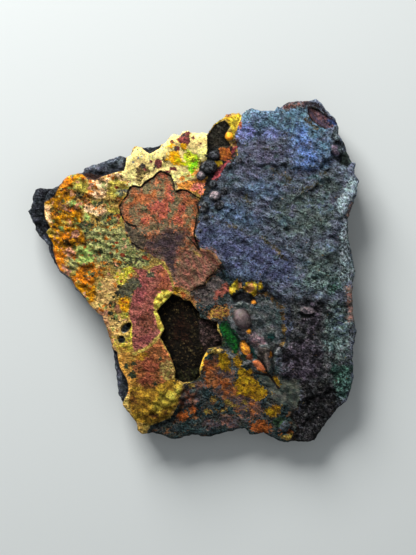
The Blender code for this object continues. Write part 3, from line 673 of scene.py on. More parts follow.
# Colours of the face, bottom to top. Screen colours are given in 0 to 255. Each ink has two colours that a
# pattern mixes, and lies where its shapes are: an outline is a list of points, an ellipse is (x, y, half
# length, half width, turn), and a line is (width, list of points), all in picture pixels.
def ink(name, first, second, shapes=(), lines=(), outside=None, pattern="speck", share=0.5, edge=0.3,
        ragged=0.9, finish="dull", spots=None):
    """One ink, with how soft and how ragged its edge is in mm. It may also lie outside an outline.

    With spots, which are a size in mm, a noise level and a softness, it covers only scattered spots of its
    shapes.
    """
    return {
        "name": name, "first": first, "second": second, "shapes": shapes, "lines": lines, "outside": outside,
        "pattern": pattern, "share": share, "edge": edge, "ragged": ragged, "finish": finish, "spots": spots,
    }


def crust_ink(name, first, second, shapes, share=0.5, edge=3.0, ragged=1.8):
    """An ink of the blue crust: folded, with a dull metallic sheen and a soft edge."""
    return ink(name, first, second, shapes, pattern="folded", share=share, edge=edge, ragged=ragged,
               finish="metal")


# Finishes: metallic, roughness and how strongly the fine grain shows
FINISHES = {
    "dull": (0.0, 0.7, 1.2),
    "waxy": (0.0, 0.6, 0.8),
    "polished": (0.1, 0.42, 0.4),
    "velvet": (0.0, 0.95, 1.5),
    "glossy": (0.15, 0.45, 1.0),
    "metal": (0.3, 0.5, 1.5),
    "coarse": (0.25, 0.48, 2.1),
    "silver": (0.4, 0.45, 1.3),
}

# The dark layer below the yellow one, where no ink covers it
BARE_LAYER = ((44, 46, 52), (84, 87, 92))

YELLOW_INKS = [
    ink("khaki", (156, 126, 58), (196, 162, 86), [YELLOW_LAYER], ragged=0.2),
    ink("peach", (255, 216, 164), (231, 176, 118), [
        [(84, 177), (97, 180), (107, 176), (124, 171.5), (138, 176), (138, 185), (120, 184), (110, 188),
         (103, 198), (94, 200), (88, 190)],
        [(44, 204), (50, 205), (51, 214), (53, 224), (48, 222), (44, 212)],
        [(84, 203), (106, 203), (108, 212), (98, 218), (84, 212)],
    ], pattern="mottle"),
    ink("peach_strip", (175, 133, 89), (144, 102, 63), [
        [(90, 298), (108, 308), (110, 320), (113, 340), (119, 354), (108, 356), (92, 330), (84, 306)],
    ], pattern="mottle"),
    ink("gold", (194, 130, 2), (142, 92, 4), [
        [(50, 182), (66, 170), (82, 170), (87, 178), (76, 184), (75, 191), (82, 196), (70, 200), (64, 207),
         (78, 209), (84, 214), (82, 226), (86, 244), (76, 247), (66, 253), (44, 256), (40, 240), (44, 226),
         (52, 222), (52, 206), (40, 203), (46, 192)],
        [(70, 280), (98, 286), (96, 302), (80, 312), (68, 292)],
    ], pattern="mottle"),
    ink("orange", (214, 122, 14), (170, 104, 24), [
        [(54, 182), (64, 174), (72, 180), (72, 186), (60, 189)], (87, 195.5, 5, 2.5, 0),
        [(40, 248), (58, 247), (64, 258), (67, 272), (60, 280), (46, 268)], (95.5, 187, 2, 3, 0),
        (95, 230, 4, 2.5, 0), (101, 259, 8, 3, 5),
        [(80, 266), (92, 261), (98, 268), (96, 284), (82, 284), (74, 276)], (76.5, 277, 4.5, 4.5, 0),
        (104, 268.5, 5, 2, 0), (60, 257, 6, 7, 30), (66, 238, 5, 6, 20), (73, 262, 3, 5, 0),
        (62, 268, 5, 4, 30),
    ], pattern="blotch", share=0.35),
    ink("pink_stain", (222, 150, 112), (180, 128, 104), [
        (69, 223, 3, 3.5, 20), (76, 234, 4, 4, 30), (71, 253, 4.5, 7, -15), (63, 206, 4, 2.5, 10),
        (67, 270, 5, 4, 30), (118, 219, 2.5, 5, 0), (90, 188, 3, 5, 20), (104, 312, 4, 6, 20),
    ]),
    ink("lime_yellow", (208, 188, 78), (176, 154, 66), [
        [(72, 186), (78, 179), (88, 180), (88, 190), (81, 195), (73, 190)],
        [(104, 182), (112, 178), (126, 180), (133, 183), (129, 190), (125, 198), (112, 199), (108, 192)],
        [(107, 208), (119, 206), (119, 212), (117, 216), (110, 214)], (50, 233, 6, 5, 45),
        (65, 224, 4, 3.5, 0),
        [(119, 206), (121, 213), (123, 219), (121, 226), (117, 225), (120, 219), (117, 212)],
    ], edge=0.8, ragged=1.5),
    ink("light_green", (128, 164, 84), (170, 186, 98), [
        (73, 204.5, 5.5, 3.5, 0), (81.5, 205.5, 3, 3, 0), (87, 217, 3.5, 4.5, 0), (90, 259, 6, 3.5, 0),
        [(78, 246), (88, 243), (96, 248), (94, 260), (84, 264), (75, 262)], (106, 246, 5, 4, 0),
    ]),
    ink("olive", (182, 182, 111), (139, 141, 90), [
        [(86, 234), (98, 227), (110, 229), (124, 226), (132, 244), (140, 250), (148, 254), (150, 264),
         (140, 270), (128, 267), (118, 270), (110, 262), (98, 264), (94, 252), (88, 246)],
        (109, 221, 9, 8, 0), (73, 264, 4, 6, -30), (104, 184.5, 4.5, 3.5, 0), (121, 193, 4, 3, 0),
    ], share=0.55),
    ink("moss", (86, 92, 60), (60, 64, 42), [
        (78, 196, 4, 3.5, 30), (95, 204.5, 3, 2.2, 0), (102.5, 204, 2, 1.6, 0), (97, 220, 2.4, 3, 0),
        (85, 227, 6, 5, 30), (107, 221, 4, 4.5, 0), (114, 216, 3, 2, 0), (116, 224, 2, 3, 0),
        (119, 264.5, 6, 3, 10), (103.5, 264, 4.2, 3, 0), (90.5, 275, 3.8, 3.2, -20), (110, 244, 3, 2, 0),
        (102, 251, 4, 3, 0), (135, 259, 8, 2, 10), (130, 264, 7, 1.8, 8), (112, 256, 4, 2, 0),
        (96, 243, 3, 3, 0),
    ], ragged=1.2),
    ink("brown_shade", (96, 62, 12), (66, 44, 12), [
        (68, 190.5, 6.5, 3, 8), (72, 209.5, 9, 1.6, -4), (57, 212, 6, 3, 0), (86, 201, 6, 2.6, 12),
        (68, 243, 5, 3.6, 20), (80, 243, 6, 1.4, 10), (109, 203, 1.6, 4, 0), (116, 201, 5, 2.4, -10),
        (62, 190, 2, 1.6, 0),
    ], lines=[
        (2.2, [(46, 222), (50, 225), (53, 228)]), (2, [(44, 234), (48, 237), (53, 240)]),
    ], ragged=1.2),
    ink("tan", (229, 187, 113), (190, 152, 87), [
        [(98, 284), (106, 276), (114, 276), (118, 270), (131, 266), (134, 272), (127, 279), (121, 286),
         (116, 296), (114, 310), (102, 310), (90, 306), (96, 296)],
        [(108, 316), (122, 316), (124, 322), (118, 334), (114, 336)],
    ]),
    ink("ochre_foot", (168, 122, 52), (190, 168, 58), [
        [(112, 338), (118, 344), (130, 334), (134, 336), (133, 352), (118, 352)],
    ], pattern="mottle"),
    ink("yellow_rim", (232, 208, 84), (196, 190, 46), [
        [(116, 279), (120, 271), (126, 268), (131, 266), (134, 271), (127, 277), (127, 284), (122, 286)],
        [(119, 313), (126, 311), (129, 316), (122, 319)], (132.5, 320, 1.8, 3.4, 0),
        (130.5, 341, 2.2, 8, 0),
    ]),
    ink("grey_olive", (112, 108, 84), (84, 86, 74), [
        [(117, 294), (121, 288), (128, 280), (133, 276), (138, 279), (141, 284), (134, 288), (129, 294),
         (122, 296)], (124, 193, 4, 3, -30),
    ]),
    ink("russet_foot", (166, 110, 78), (138, 80, 54), [
        [(114, 302), (120, 304), (122, 312), (118, 315), (113, 311)],
    ], pattern="mottle"),
    ink("gold_patch", (218, 158, 17), (178, 124, 15), [
        [(119, 298), (123, 294.5), (128, 295), (130, 300), (129, 309), (126, 313), (121, 310), (118, 303)],
        (160, 148.5, 4, 2.2, -10),
    ], share=0.3, ragged=0.25),
    ink("small_spots", (58, 62, 42), (36, 38, 24), [
        (119, 286.5, 1.8, 1.6, 0), (117, 293, 2.4, 2, 0), (114, 297, 1.7, 1.4, 0),
        (110.5, 304.5, 1.9, 3.2, 0), (110.5, 313, 3, 2.2, 10), (114.5, 318, 1.2, 2.2, 20),
        (119, 321.5, 1, 1, 0), (111.8, 318.4, 1, 1, 0), (115, 304.5, 1, 2, 0), (128.3, 176, 1.2, 1.6, 0),
        (142.3, 152.3, 1.2, 0.8, 0), (118, 295.5, 2, 1.5, 0),
    ], edge=0.15, ragged=0.15),
    ink("rust_spots", (164, 74, 44), (120, 50, 26), [
        (121, 281.5, 1.3, 1.3, 0), (122.6, 300.2, 1.2, 1.2, 0), (126, 303, 1, 1, 0),
        (122.3, 305.5, 1.1, 0.9, 0), (116, 187.5, 1.8, 1.4, 0), (121.3, 176, 1.4, 2, 0),
        (119, 216, 1.6, 2, 0), (118.5, 223, 1.4, 1.2, 0), (122.5, 255, 2.6, 1.6, 20),
        (145, 257.5, 3, 1.8, 25), (117, 243, 2, 1.4, 0), (128, 179.5, 2.8, 1.6, 0), (130, 181, 2, 1, 0),
        (142.5, 155.8, 1.8, 2, 0),
    ], edge=0.2, ragged=0.2),
]

# Spots of other colours all over the left of the yellow layer
YELLOW_LEFT = [
    (40, 200), (60, 176), (125, 160), (133, 188), (119, 207), (126, 235), (150, 255), (134, 275),
    (131, 296), (132, 350), (110, 356), (95, 312), (72, 292), (45, 262), (38, 225),
]
YELLOW_SPOTS = [
    ink("spots_orange", (204, 118, 22), (176, 92, 26), [
        YELLOW_LEFT,
    ], pattern="mottle", edge=1.0, spots=(2.0, 0.63, 0.05)),
    ink("spots_green", (108, 128, 68), (138, 150, 78), [
        YELLOW_LEFT,
    ], pattern="mottle", edge=1.0, spots=(2.4, 0.63, 0.05)),
    ink("spots_pink", (226, 164, 122), (204, 138, 100), [
        YELLOW_LEFT,
    ], pattern="mottle", edge=1.0, spots=(2.0, 0.65, 0.05)),
    ink("spots_pale", (232, 208, 124), (220, 188, 98), [
        YELLOW_LEFT,
    ], pattern="mottle", edge=1.0, spots=(1.3, 0.67, 0.05)),
    ink("spots_dark", (92, 68, 28), (60, 54, 30), [
        YELLOW_LEFT,
    ], pattern="mottle", edge=1.0, spots=(0.9, 0.68, 0.03)),
]

CREAM_INKS = [
    ink("cream", (232, 212, 134), (222, 196, 124), [
        [(125.5, 165), (126.5, 158), (131, 155), (135, 147), (141, 147), (150, 154), (160, 148), (168, 140),
         (172, 134), (190, 130), (208, 133), (208, 160), (199, 162), (199, 172), (196, 180), (184, 182),
         (178, 190), (174, 188), (171, 176), (160, 171), (150, 180), (141, 187), (133, 185), (131, 181),
         (124, 180), (121, 173)],
    ], pattern="mottle", ragged=0.15, finish="waxy"),
    ink("pale_yellow", (240, 232, 124), (242, 230, 156), [
        (203, 151, 5, 8, 10), (186, 177, 8, 5, 10), (152, 156, 5, 3, 0), (174, 180, 3, 8, -10),
        (134, 184, 5, 2, 0),
    ], finish="waxy"),
    ink("cream_olive", (136, 116, 66), (92, 74, 46), [
        [(142, 163), (146, 167), (151, 172), (150, 175), (145, 174), (142, 184), (138, 184), (134, 175),
         (138, 168)], (121.5, 178.5, 2.5, 2.5, 0), (169, 164.5, 2.5, 0.9, 0), (165, 160, 3, 2, 0),
    ], ragged=1.1),
    ink("maroon_spots", (142, 72, 66), (96, 50, 48), [
        [(181, 136), (184, 133), (190, 131), (190, 138), (190, 143), (186, 147), (181, 144), (176, 140),
         (178, 138)], (193, 137.7, 1.6, 2.2, 0), (200.5, 143.6, 1.3, 1.3, 0), (172, 142, 2, 2.4, 0),
        (175, 135.3, 3.4, 0.9, -10), (158.4, 163.8, 4, 5.2, 0), (151, 162, 1.5, 1.5, 0),
        (173, 168.6, 4, 1.9, -5), (168, 172, 2.6, 1.6, 10), (177, 149, 3.2, 3.2, 0),
        (145, 169, 1.4, 2.4, -30), (176, 170, 1.4, 1, 0),
    ], pattern="mottle", edge=0.15, ragged=0.25),
    ink("maroon_dark", (58, 42, 40), (84, 78, 66), [
        (183.5, 134.8, 2.4, 2, 0), (175.5, 149.5, 1.6, 3, 0), (155, 167, 1.2, 3, 30),
        (187.4, 136.8, 1.2, 0.9, 0), (148.5, 174, 2, 1, -30), (143, 166, 2, 3, -30),
    ], ragged=0.2),
    ink("bright_gold", (238, 172, 6), (206, 132, 8), [
        [(169, 152), (174, 150.5), (180, 151), (181, 157), (183, 161), (178, 166), (172, 164), (167, 160)],
        (171.5, 146.5, 2.6, 2, 20), (183, 147, 2.6, 2.4, 0), (176, 143, 2, 2.4, 0),
    ], pattern="mottle", share=0.3, finish="waxy"),
    ink("bright_yellow", (238, 228, 6), (214, 196, 10), [
        (183.5, 163, 4, 1.7, 20), (178, 160, 3, 2, 20),
    ], finish="waxy"),
    ink("lime", (208, 248, 36), (214, 214, 52), [
        [(184, 152), (190, 151), (196, 155), (199, 158), (199, 166), (197, 172), (193, 178), (190, 172),
         (188, 166), (183, 159)],
    ], pattern="mottle", share=0.45, finish="waxy"),
    ink("lime_vivid", (150, 232, 10), (128, 214, 60), [
        [(194, 160), (198, 159), (198, 167), (194, 174), (190, 171), (191, 165)],
    ], share=0.35, finish="waxy"),
    ink("lime_shade", (168, 158, 42), (134, 124, 32), [
        (187, 153.5, 4, 1.2, 25), (189, 158, 3, 1, 20), (193, 161.5, 2, 0.9, 0), (199, 162, 0.9, 2, 0),
    ]),
    ink("orange_crust", (255, 166, 73), (218, 132, 54), [
        [(177, 184), (183, 182.5), (190, 180.5), (200, 180), (207, 177), (212, 177), (209, 188), (207, 197),
         (203, 199), (197, 195), (191, 191.5), (184, 189), (179, 188.5)], (196, 173, 2.4, 4, 20),
        (182, 178.5, 2.4, 1.6, 0), (188, 175, 1.6, 1.2, 0),
    ], pattern="mottle"),
    ink("pink_crust", (240, 117, 112), (255, 158, 121), [
        (197, 187, 5.5, 4, -10), (201, 192, 4, 3.5, 30), (207, 183, 2.4, 3.4, 20), (209, 178, 2, 2.6, 0),
    ]),
]

FLAKE_INKS = [
    ink("flake", (191, 115, 76), (118, 106, 80), [
        RUST_FLAKE,
    ], pattern="mottle", share=0.48, edge=0.15, ragged=0.1),
    ink("flake_orange", (184, 108, 61), (155, 93, 57), [
        [(127, 196), (140, 190), (150, 184), (158, 192), (150, 204), (136, 206), (126, 210), (121, 206)],
        [(182, 192), (192, 195), (198, 208), (196, 216), (190, 214), (184, 204)], (192, 226, 4, 5, 0),
        (130, 219, 5, 4, 30),
    ], pattern="mottle", share=0.4, ragged=1.4),
    ink("flake_olive", (114, 108, 78), (139, 119, 84), [
        [(168, 174), (173, 180), (176, 193), (181, 198), (180, 208), (175, 216), (166, 217), (164, 210),
         (171, 202), (172, 192)], (148, 210, 8, 4, 20), (146, 189, 5, 4, 0), (163, 192, 3.6, 6, 10),
        (136, 214, 5, 5, 0), (189, 212, 4, 5, 20), (158, 186, 4, 3, 0), (155, 226, 14, 3, 8),
        (127, 202, 3, 5, 30), (188, 220, 3, 3, 0),
    ], ragged=1.6),
    ink("flake_salmon", (184, 94, 78), (196, 108, 70), [
        [(166, 187), (170, 185), (174, 193), (175, 200), (169, 203), (166, 205), (166, 198)],
        [(148, 204), (158, 200), (166, 204), (168, 212), (164, 216), (163, 224), (158, 224), (158, 213),
         (150, 212)], [(180, 206), (184, 204), (183, 214), (181, 224), (174, 226), (172, 222), (177, 213)],
        (161, 175.8, 4.2, 2, 0), (178, 253, 4, 2.6, 30), (166, 236, 4, 3, -30), (192, 240, 2, 5, -40),
        (146, 221, 4, 4, 0), (186, 196, 2.4, 5, 0),
    ], share=0.4, ragged=1.2),
    ink("flake_umber", (104, 90, 70), (78, 70, 58), [
        [(125, 223), (136, 228), (146, 236), (146, 250), (140, 250), (131, 244), (126, 235)],
    ], pattern="mottle", ragged=1.2),
    # Painted shade: the flake's lower part, where its dome turns away from the light, is darker.
    ink("flake_painted_shade", (74, 59, 62), (107, 83, 72), [
        [(147, 240), (158, 236), (166, 230), (180, 230), (190, 236), (184, 246), (178, 252), (178, 262),
         (180, 276), (173, 278), (163, 262), (152, 254), (143, 250)],
    ], pattern="mottle", share=0.4, edge=2.5, ragged=1.4),
    ink("flake_foot", (122, 92, 72), (152, 96, 80), [
        [(180, 252), (190, 248), (199, 250), (212, 250.5), (222, 263), (213, 274), (205, 285), (191, 292),
         (180, 287), (176, 276), (178, 262)],
    ], pattern="streak", share=0.45, edge=2.0, ragged=1.2),
    ink("flake_ochre", (174, 146, 76), (140, 112, 60), lines=[
        (2.2, [(190, 249.5), (195, 252), (200, 256)]),
    ], ragged=0.6),
]

MAROON = [
    (133, 267), (138, 269), (147, 270), (152, 266.5), (158, 263.5), (163, 261.5), (168, 270), (172, 281),
    (173.5, 287), (172, 293), (156, 308), (158, 318), (164.5, 329), (160, 335), (153, 343), (141, 350),
    (134, 352), (132, 340), (133, 325), (130, 318), (129.5, 310), (132, 298), (134, 291), (139, 285),
    (140, 278), (136.5, 272),
]
RUST_FOOT = [
    (138, 353), (146, 349), (153, 343), (160, 338), (165, 347), (170, 355), (174, 362), (172, 372),
    (167, 384), (160, 392), (142, 390), (136, 378), (133, 364),
]
LEFT_FOOT = [(112, 354), (134, 352), (141, 348), (138, 362), (142, 390), (132, 394), (116, 396), (112, 372)]
LOWER_LEFT_INKS = [
    ink("maroon", (179, 103, 89), (141, 83, 70), [MAROON], edge=0.2, ragged=0.35),
    ink("maroon_pink", (162, 86, 84), (142, 76, 70), [
        (140, 290, 7, 16, 0), (143, 340, 8, 4, -20),
    ], edge=1.5, ragged=1.5),
    ink("maroon_brown", (142, 80, 58), (114, 66, 52), [
        (147, 322, 9, 10, 20), (160, 300, 5, 7, -30),
    ], edge=0.8, ragged=1.5),
    ink("maroon_orange", (189, 111, 69), (162, 88, 63), [
        [(158, 272), (166, 268), (172, 282), (171, 292), (160, 290)],
    ], pattern="mottle", edge=1.5, ragged=1.2),
    ink("olive_corner", (112, 106, 76), (84, 84, 66), [
        [(118, 292), (123, 284), (131, 278), (138, 280), (141, 286), (134, 291), (130, 297), (121, 298)],
        (150, 273, 4, 2.4, 30),
    ], ragged=0.8),
    ink("left_foot", (204, 152, 70), (168, 116, 44), [LEFT_FOOT], pattern="mottle", ragged=0.5),
    ink("rust_foot", (174, 103, 58), (128, 78, 43), [RUST_FOOT], pattern="mottle"),
    ink("rust_foot_gold", (196, 148, 40), (160, 108, 34), [(143, 357, 6, 5, 20), (168, 384, 5, 3, 0)]),
    ink("rust_foot_pink", (166, 90, 62), (138, 74, 50), [
        (150, 366, 9, 7, -10), (148, 380, 8, 6, 0),
    ], edge=0.8, ragged=1.5),
    ink("pale_strip", (174, 153, 84), (139, 107, 61), [
        [(160, 364), (166, 360), (174, 362), (175, 378), (166, 382), (160, 376)],
    ]),
    ink("cluster", (164, 126, 36), (130, 96, 26), [
        [(130, 388), (140, 386), (152, 388), (164, 382), (174, 378), (182, 386), (181, 394), (179, 398),
         (178, 404), (172, 412), (166, 419), (150, 425), (137, 422), (132, 414), (128, 404)],
    ], pattern="blotch", ragged=0.5),
    ink("cluster_olive", (168, 150, 52), (140, 122, 38), [
        (168, 399, 9, 9, 0), (158, 406, 7, 6, 0),
    ], pattern="mottle", edge=1.5),
    ink("cluster_pale", (206, 192, 76), (180, 158, 62), [
        (177, 391, 4, 5, 20), (171, 397, 3, 3, 0),
    ], edge=1.5),
    ink("cluster_brown", (112, 70, 22), (80, 50, 16), [
        (165, 412, 2.6, 2, 0), (174, 406, 2, 2, 0), (132, 399, 4.4, 8, 0), (147, 387, 6, 2, 0),
        (154, 415, 2.4, 2, 0),
    ], edge=1.2, ragged=1.1),
    ink("foot_green", (62, 72, 48), (44, 52, 34), [
        (132, 375, 3.8, 3.6, 0), (155, 383, 2.4, 2.4, 0), (160, 358, 1.8, 2.4, 0), (134, 363, 2.2, 2, 0),
        (126, 366, 2, 3, 0),
    ], ragged=0.6),
    ink("yellow_edges", (216, 192, 84), (196, 172, 84), lines=[
        (2.2, [(148.5, 271), (152, 266.8), (158, 263.8), (162.8, 262), (167.5, 270), (171.5, 281),
         (173, 287)]),
        (1.9, [(157, 307), (157, 313), (158.5, 318), (161, 324), (163.8, 329), (160, 335), (152, 343.5)]),
        (2.6, [(134, 353.5), (141, 351), (147, 348), (152.5, 343.5)]),
        (1.2, [(160, 336), (165, 345), (170, 354), (174.5, 362)]),
    ], ragged=0.5),
    ink("nuggets", (226, 218, 92), (166, 146, 52), [
        [(154, 308), (154, 299), (158, 293), (164, 290), (172.5, 292), (171, 299), (166, 303), (160, 309)],
        [(156.5, 307), (158, 313), (161, 320), (164.5, 329), (161, 332), (156.5, 326), (155.5, 318),
         (154, 312)],
    ], pattern="mottle", share=0.6, ragged=0.4, finish="waxy"),
    ink("hole_metal", (150, 158, 168), (92, 98, 106), [
        (125.4, 328.6, 5, 3.2, -50), (121.5, 340, 3.2, 2.8, 0),
    ], ragged=0.15, finish="glossy"),
    # Painted shadow: near-black over the upper part of each hole, below its rim.
    ink("hole_painted_shadow", (10, 8, 8), (22, 20, 20), [
        (128.4, 325, 3, 2.4, -50), (121.5, 336.6, 2.6, 1.2, 0),
    ], ragged=0.15, finish="velvet"),
]

PIT_INKS = [
    ink("pit", (9, 7, 5), (24, 20, 13), [
        BLACK_PIT,
    ], pattern="streak", share=0.75, edge=0.15, ragged=0.1, finish="velvet"),
    ink("pit_flecks", (98, 82, 52), (58, 48, 30), [
        BLACK_PIT,
    ], pattern="mottle", edge=0.5, finish="velvet", spots=(0.8, 0.58, 0.05)),
    ink("pit_red", (40, 23, 14), (18, 12, 7), [
        (182, 330, 9, 15, 10),
    ], pattern="streak", share=0.35, edge=3.0, ragged=2.0, finish="velvet"),
    ink("pit_streaks", (94, 74, 70), (36, 29, 25), [
        [(199, 319), (216, 322), (217, 330), (222, 338), (221, 346), (208, 349), (204, 352), (200, 338)],
    ], ragged=0.6, finish="velvet"),
    ink("pit_foot", (60, 60, 30), (26, 24, 12), [
        (189, 376, 10, 5, -8),
    ], pattern="streak", edge=1.0, ragged=1.5),
]

MIDDLE_INKS = [
    ink("grey_purple", (112, 100, 95), (71, 66, 64), [
        [(190, 290), (205, 284), (214, 275), (224, 280), (227, 288), (216, 302), (206, 309), (199, 303),
         (190, 300)],
    ]),
    ink("teal_grey", (110, 112, 112), (57, 66, 66), [
        [(226, 296), (258, 296), (280, 300), (285, 306), (284, 330), (283, 345), (276, 362), (262, 376),
         (248, 366), (236, 352), (228, 330), (228, 306)],
        [(222, 348), (236, 352), (240, 366), (232, 382), (222, 372)],
    ], pattern="mottle", edge=0.6, ragged=1.2),
    ink("teal_streaks", (80, 98, 96), (62, 72, 76), [
        (279, 320, 3.6, 12, 0), (262, 308, 7, 2.4, 10),
    ], pattern="streak", edge=1.5, ragged=1.4),
    ink("teal_pocket", (16, 58, 54), (10, 34, 34), [
        [(244, 343), (250, 345), (254, 350), (258, 356), (258, 360), (253, 357), (248, 350)],
        [(266, 334), (273, 333), (276, 337), (272, 341), (267, 339)],
    ], pattern="mottle", ragged=0.5, finish="waxy"),
    # Painted shadow: a black arc on the upper rim of the small round lump beside the ridge.
    ink("painted_shadow_arc", (16, 16, 17), (30, 30, 32), lines=[
        (3.0, [(273, 351), (276, 346.5), (281, 346), (284, 349)]),
    ], ragged=0.5),
    ink("slope", (90, 92, 82), (58, 66, 60), [
        [(258, 374), (270, 375), (284, 380), (300, 380), (300, 402), (298, 410), (280, 404), (270, 396)],
    ], pattern="mottle", edge=0.5, finish="waxy"),
    ink("brown_patches", (112, 80, 65), (69, 63, 67), [
        [(204, 362), (222, 356), (236, 380), (250, 396), (262, 404), (262, 418), (242, 414), (222, 400),
         (210, 386)], (231, 422, 11, 6, 5), (226, 388, 7, 6, -20), (196, 386, 12, 3, -5),
        (190, 400, 9, 6, -10), (234, 402, 10, 5, 0), (210, 425, 8, 4, -10),
    ], pattern="mottle", ragged=1.2),
    ink("orange_bits", (156, 92, 46), (124, 76, 48), [
        [(204, 362), (222, 356), (236, 380), (256, 398), (262, 418), (240, 414), (222, 400), (208, 388)],
    ], pattern="mottle", share=0.4, edge=1.5, spots=(2.6, 0.53, 0.05)),
    ink("orange_slope", (150, 90, 50), (104, 68, 50), [
        [(203, 362), (214, 357), (220, 368), (214, 383), (208, 389), (205, 384)],
    ], pattern="mottle", share=0.45, ragged=1.0),
    ink("left_brown", (116, 68, 50), (64, 56, 54), [
        (184, 399, 8, 8, 0), (180, 391, 6, 5, 0),
    ], pattern="mottle", ragged=1.0),
    ink("orange_patches", (153, 81, 33), (101, 57, 29), [
        (262, 428, 11, 7, 10), (183, 416, 6, 5, -20), (195, 411, 5, 3, 0), (214, 313, 4, 4, 0),
        (184, 295, 4, 2, 50), (281, 428, 2, 4, 0), (290, 431, 2, 3, 0), (226, 384, 4, 3, 0),
        (207, 370, 3, 6, 0),
    ], pattern="mottle", share=0.4, ragged=1.2),
    ink("mustard", (158, 120, 14), (108, 76, 16), [
        [(218, 356), (225, 353), (231, 358), (230, 370), (222, 372), (218, 366)], (237, 361, 4, 5.6, 0),
        [(240, 369), (250, 368.5), (253, 377), (262, 386), (272, 395), (264, 398.5), (258, 400), (248, 398),
         (238, 396), (234, 384), (236, 379)],
        [(265, 409), (272, 407), (280, 406), (280, 414), (275, 420), (267, 416)], (177, 290, 3, 3.4, 30),
        [(272, 378), (276, 376), (280, 384), (279, 388), (275, 385)],
    ], pattern="mottle", share=0.4),
    ink("crystals", (190, 158, 30), (124, 94, 26), [
        [(229, 290), (231, 285), (237, 279.5), (239, 284), (240, 290), (234, 293), (232, 297), (230, 294)],
        [(243, 288), (246, 282), (252, 281.5), (256, 284), (257, 290), (257, 295), (254, 298), (249, 295)],
        (260, 286, 2.6, 4.4, -20),
    ], share=0.45, ragged=0.6, finish="waxy"),
    ink("ochre_border", (140, 106, 50), (90, 72, 44), [
        (284, 330, 1.3, 3.4, 10), (283.5, 318, 0.9, 3, 0), (283, 343, 1.2, 3, 0), (280, 306, 3, 1.5, 30),
        (272, 299, 3, 1.6, 20), (266, 294, 2.2, 2.6, 0),
    ]),
    ink("crystals_bright", (232, 216, 80), (198, 168, 44), [
        (234, 287, 3.4, 4, 10), (255, 287, 1.4, 4, 0),
    ], ragged=0.6, finish="waxy"),
    ink("crystals_salmon", (196, 138, 84), (170, 114, 70), [
        (250, 288, 4.2, 4.4, 0), (240, 285, 1.8, 3, 10),
    ], ragged=0.6, finish="waxy"),
    ink("speckled_gold", (190, 146, 60), (134, 84, 54), [
        [(207, 311), (216, 307), (227, 306), (229, 313), (222, 320), (212, 318)], (194, 304, 7, 4, 40),
    ], ragged=1.5),
    ink("salmon", (170, 92, 76), (124, 76, 66), [
        [(213, 290), (220, 288), (226, 285), (228, 291), (222, 297), (216, 299)],
    ], pattern="mottle", ragged=0.8),
    ink("mustard_bright", (196, 158, 28), (166, 128, 20), [
        (222, 360, 3, 4, 0), (262, 392, 4, 3, 20), (246, 380, 4, 5, -30), (244, 375, 3, 3, 0),
    ], ragged=1.0),
    ink("pale_gold_bits", (206, 178, 96), (158, 128, 58), [
        (215, 351, 6.4, 2.8, -10), (192, 386, 2.4, 2, 0), (245, 296, 3, 1, 0),
    ], lines=[
        (1.6, [(231, 351), (236, 353), (240, 355.5)]),
    ], ragged=0.6),
    ink("bright_rim", (236, 176, 44), (250, 214, 100), [
        [(207, 352), (209, 354), (204, 359), (203, 365), (201, 371), (198.5, 368), (199, 361), (202, 356)],
    ], pattern="mottle", ragged=0.3),
    ink("ochre_specks", (150, 128, 56), (116, 88, 40), [
        (226, 402, 4, 1.6, 20), (236, 406, 4, 1.6, -10), (244, 402, 3, 1.4, 30), (214, 400, 3, 2, 0),
        (206, 412, 4, 1.6, 0), (248, 410, 3, 1.4, 0), (222, 411, 4, 1.4, 10), (288, 438, 3.4, 2, 0),
    ], ragged=1.0),
    ink("green_vein", (18, 84, 42), (9, 38, 24), [
        [(217, 326), (222, 321), (228, 323), (236, 332), (241, 339), (240, 349), (236, 354), (232, 350),
         (226, 343), (219, 333)],
    ], pattern="streak", share=0.6, ragged=0.7),
    ink("green_bright", (28, 118, 34), (14, 76, 28), [
        (226, 331, 6, 3, 50), (232, 340, 5, 4, 45), (236, 347, 3, 5, 0),
    ], edge=1.0, ragged=1.0),
    ink("green_ground", (44, 66, 40), (30, 48, 32), [
        (281, 424, 8, 6, 0), (246, 355, 5, 4, 30), (222, 342, 3, 4, 0),
    ], ragged=1.2),
    ink("ridge_foot", (93, 83, 77), (62, 55, 51), [
        [(258, 346), (272, 348), (272, 360), (268, 375), (262, 367), (257, 357)],
    ], edge=0.6, ragged=0.5, finish="glossy"),
    ink("hollow", (20, 21, 24), (48, 48, 50), [DARK_HOLLOW, (240, 332, 3, 6, -30)], ragged=0.25),
    ink("mauve_lumps", (92, 80, 79), (66, 58, 60), [
        (242, 319, 12, 8.5, 62),
    ], pattern="mottle", share=0.35, ragged=0.4, finish="polished"),
    # A painted highlight on the big lump's upper left.
    ink("lump_painted_highlight", (118, 104, 98), (102, 90, 90), [
        (237.5, 314, 3.6, 3, 30),
    ], edge=1.5, ragged=0.6, finish="polished"),
    ink("ridge_pink", (138, 110, 114), (88, 76, 82), [
        [(247, 334), (254, 332), (265, 336), (267, 343), (258, 347), (251, 344)],
    ], edge=0.8, finish="glossy"),
    ink("dark_beads", (52, 48, 50), (34, 32, 34), [
        (243.5, 333.5, 3.8, 2.3, 0), (243.5, 339, 3.8, 2.2, 0),
    ], pattern="mottle", ragged=0.3, finish="polished"),
    ink("orange_beads", (206, 132, 36), (160, 100, 40), [
        (249, 331.5, 2.8, 2.8, 0), (244.8, 348.5, 8, 4.4, 64), (271, 355, 1.6, 3.2, 0),
        (253.5, 302.5, 2.4, 2.4, 0),
    ], pattern="mottle", share=0.35, ragged=0.3, finish="waxy"),
    ink("brown_beads", (186, 102, 62), (146, 80, 48), [
        (249.5, 357, 3.6, 3.2, 50), (259.5, 366, 7.6, 3.8, 42),
    ], pattern="mottle", share=0.4, ragged=0.3, finish="waxy"),
    ink("bead_edge", (214, 132, 40), (176, 100, 40), lines=[
        (1.2, [(258, 370), (263, 372), (267, 373)]),
    ], ragged=0.3, finish="waxy"),
    ink("nodule", (76, 84, 94), (48, 46, 46), [(285, 427, 5, 5, 0)], pattern="mottle", finish="glossy"),
]

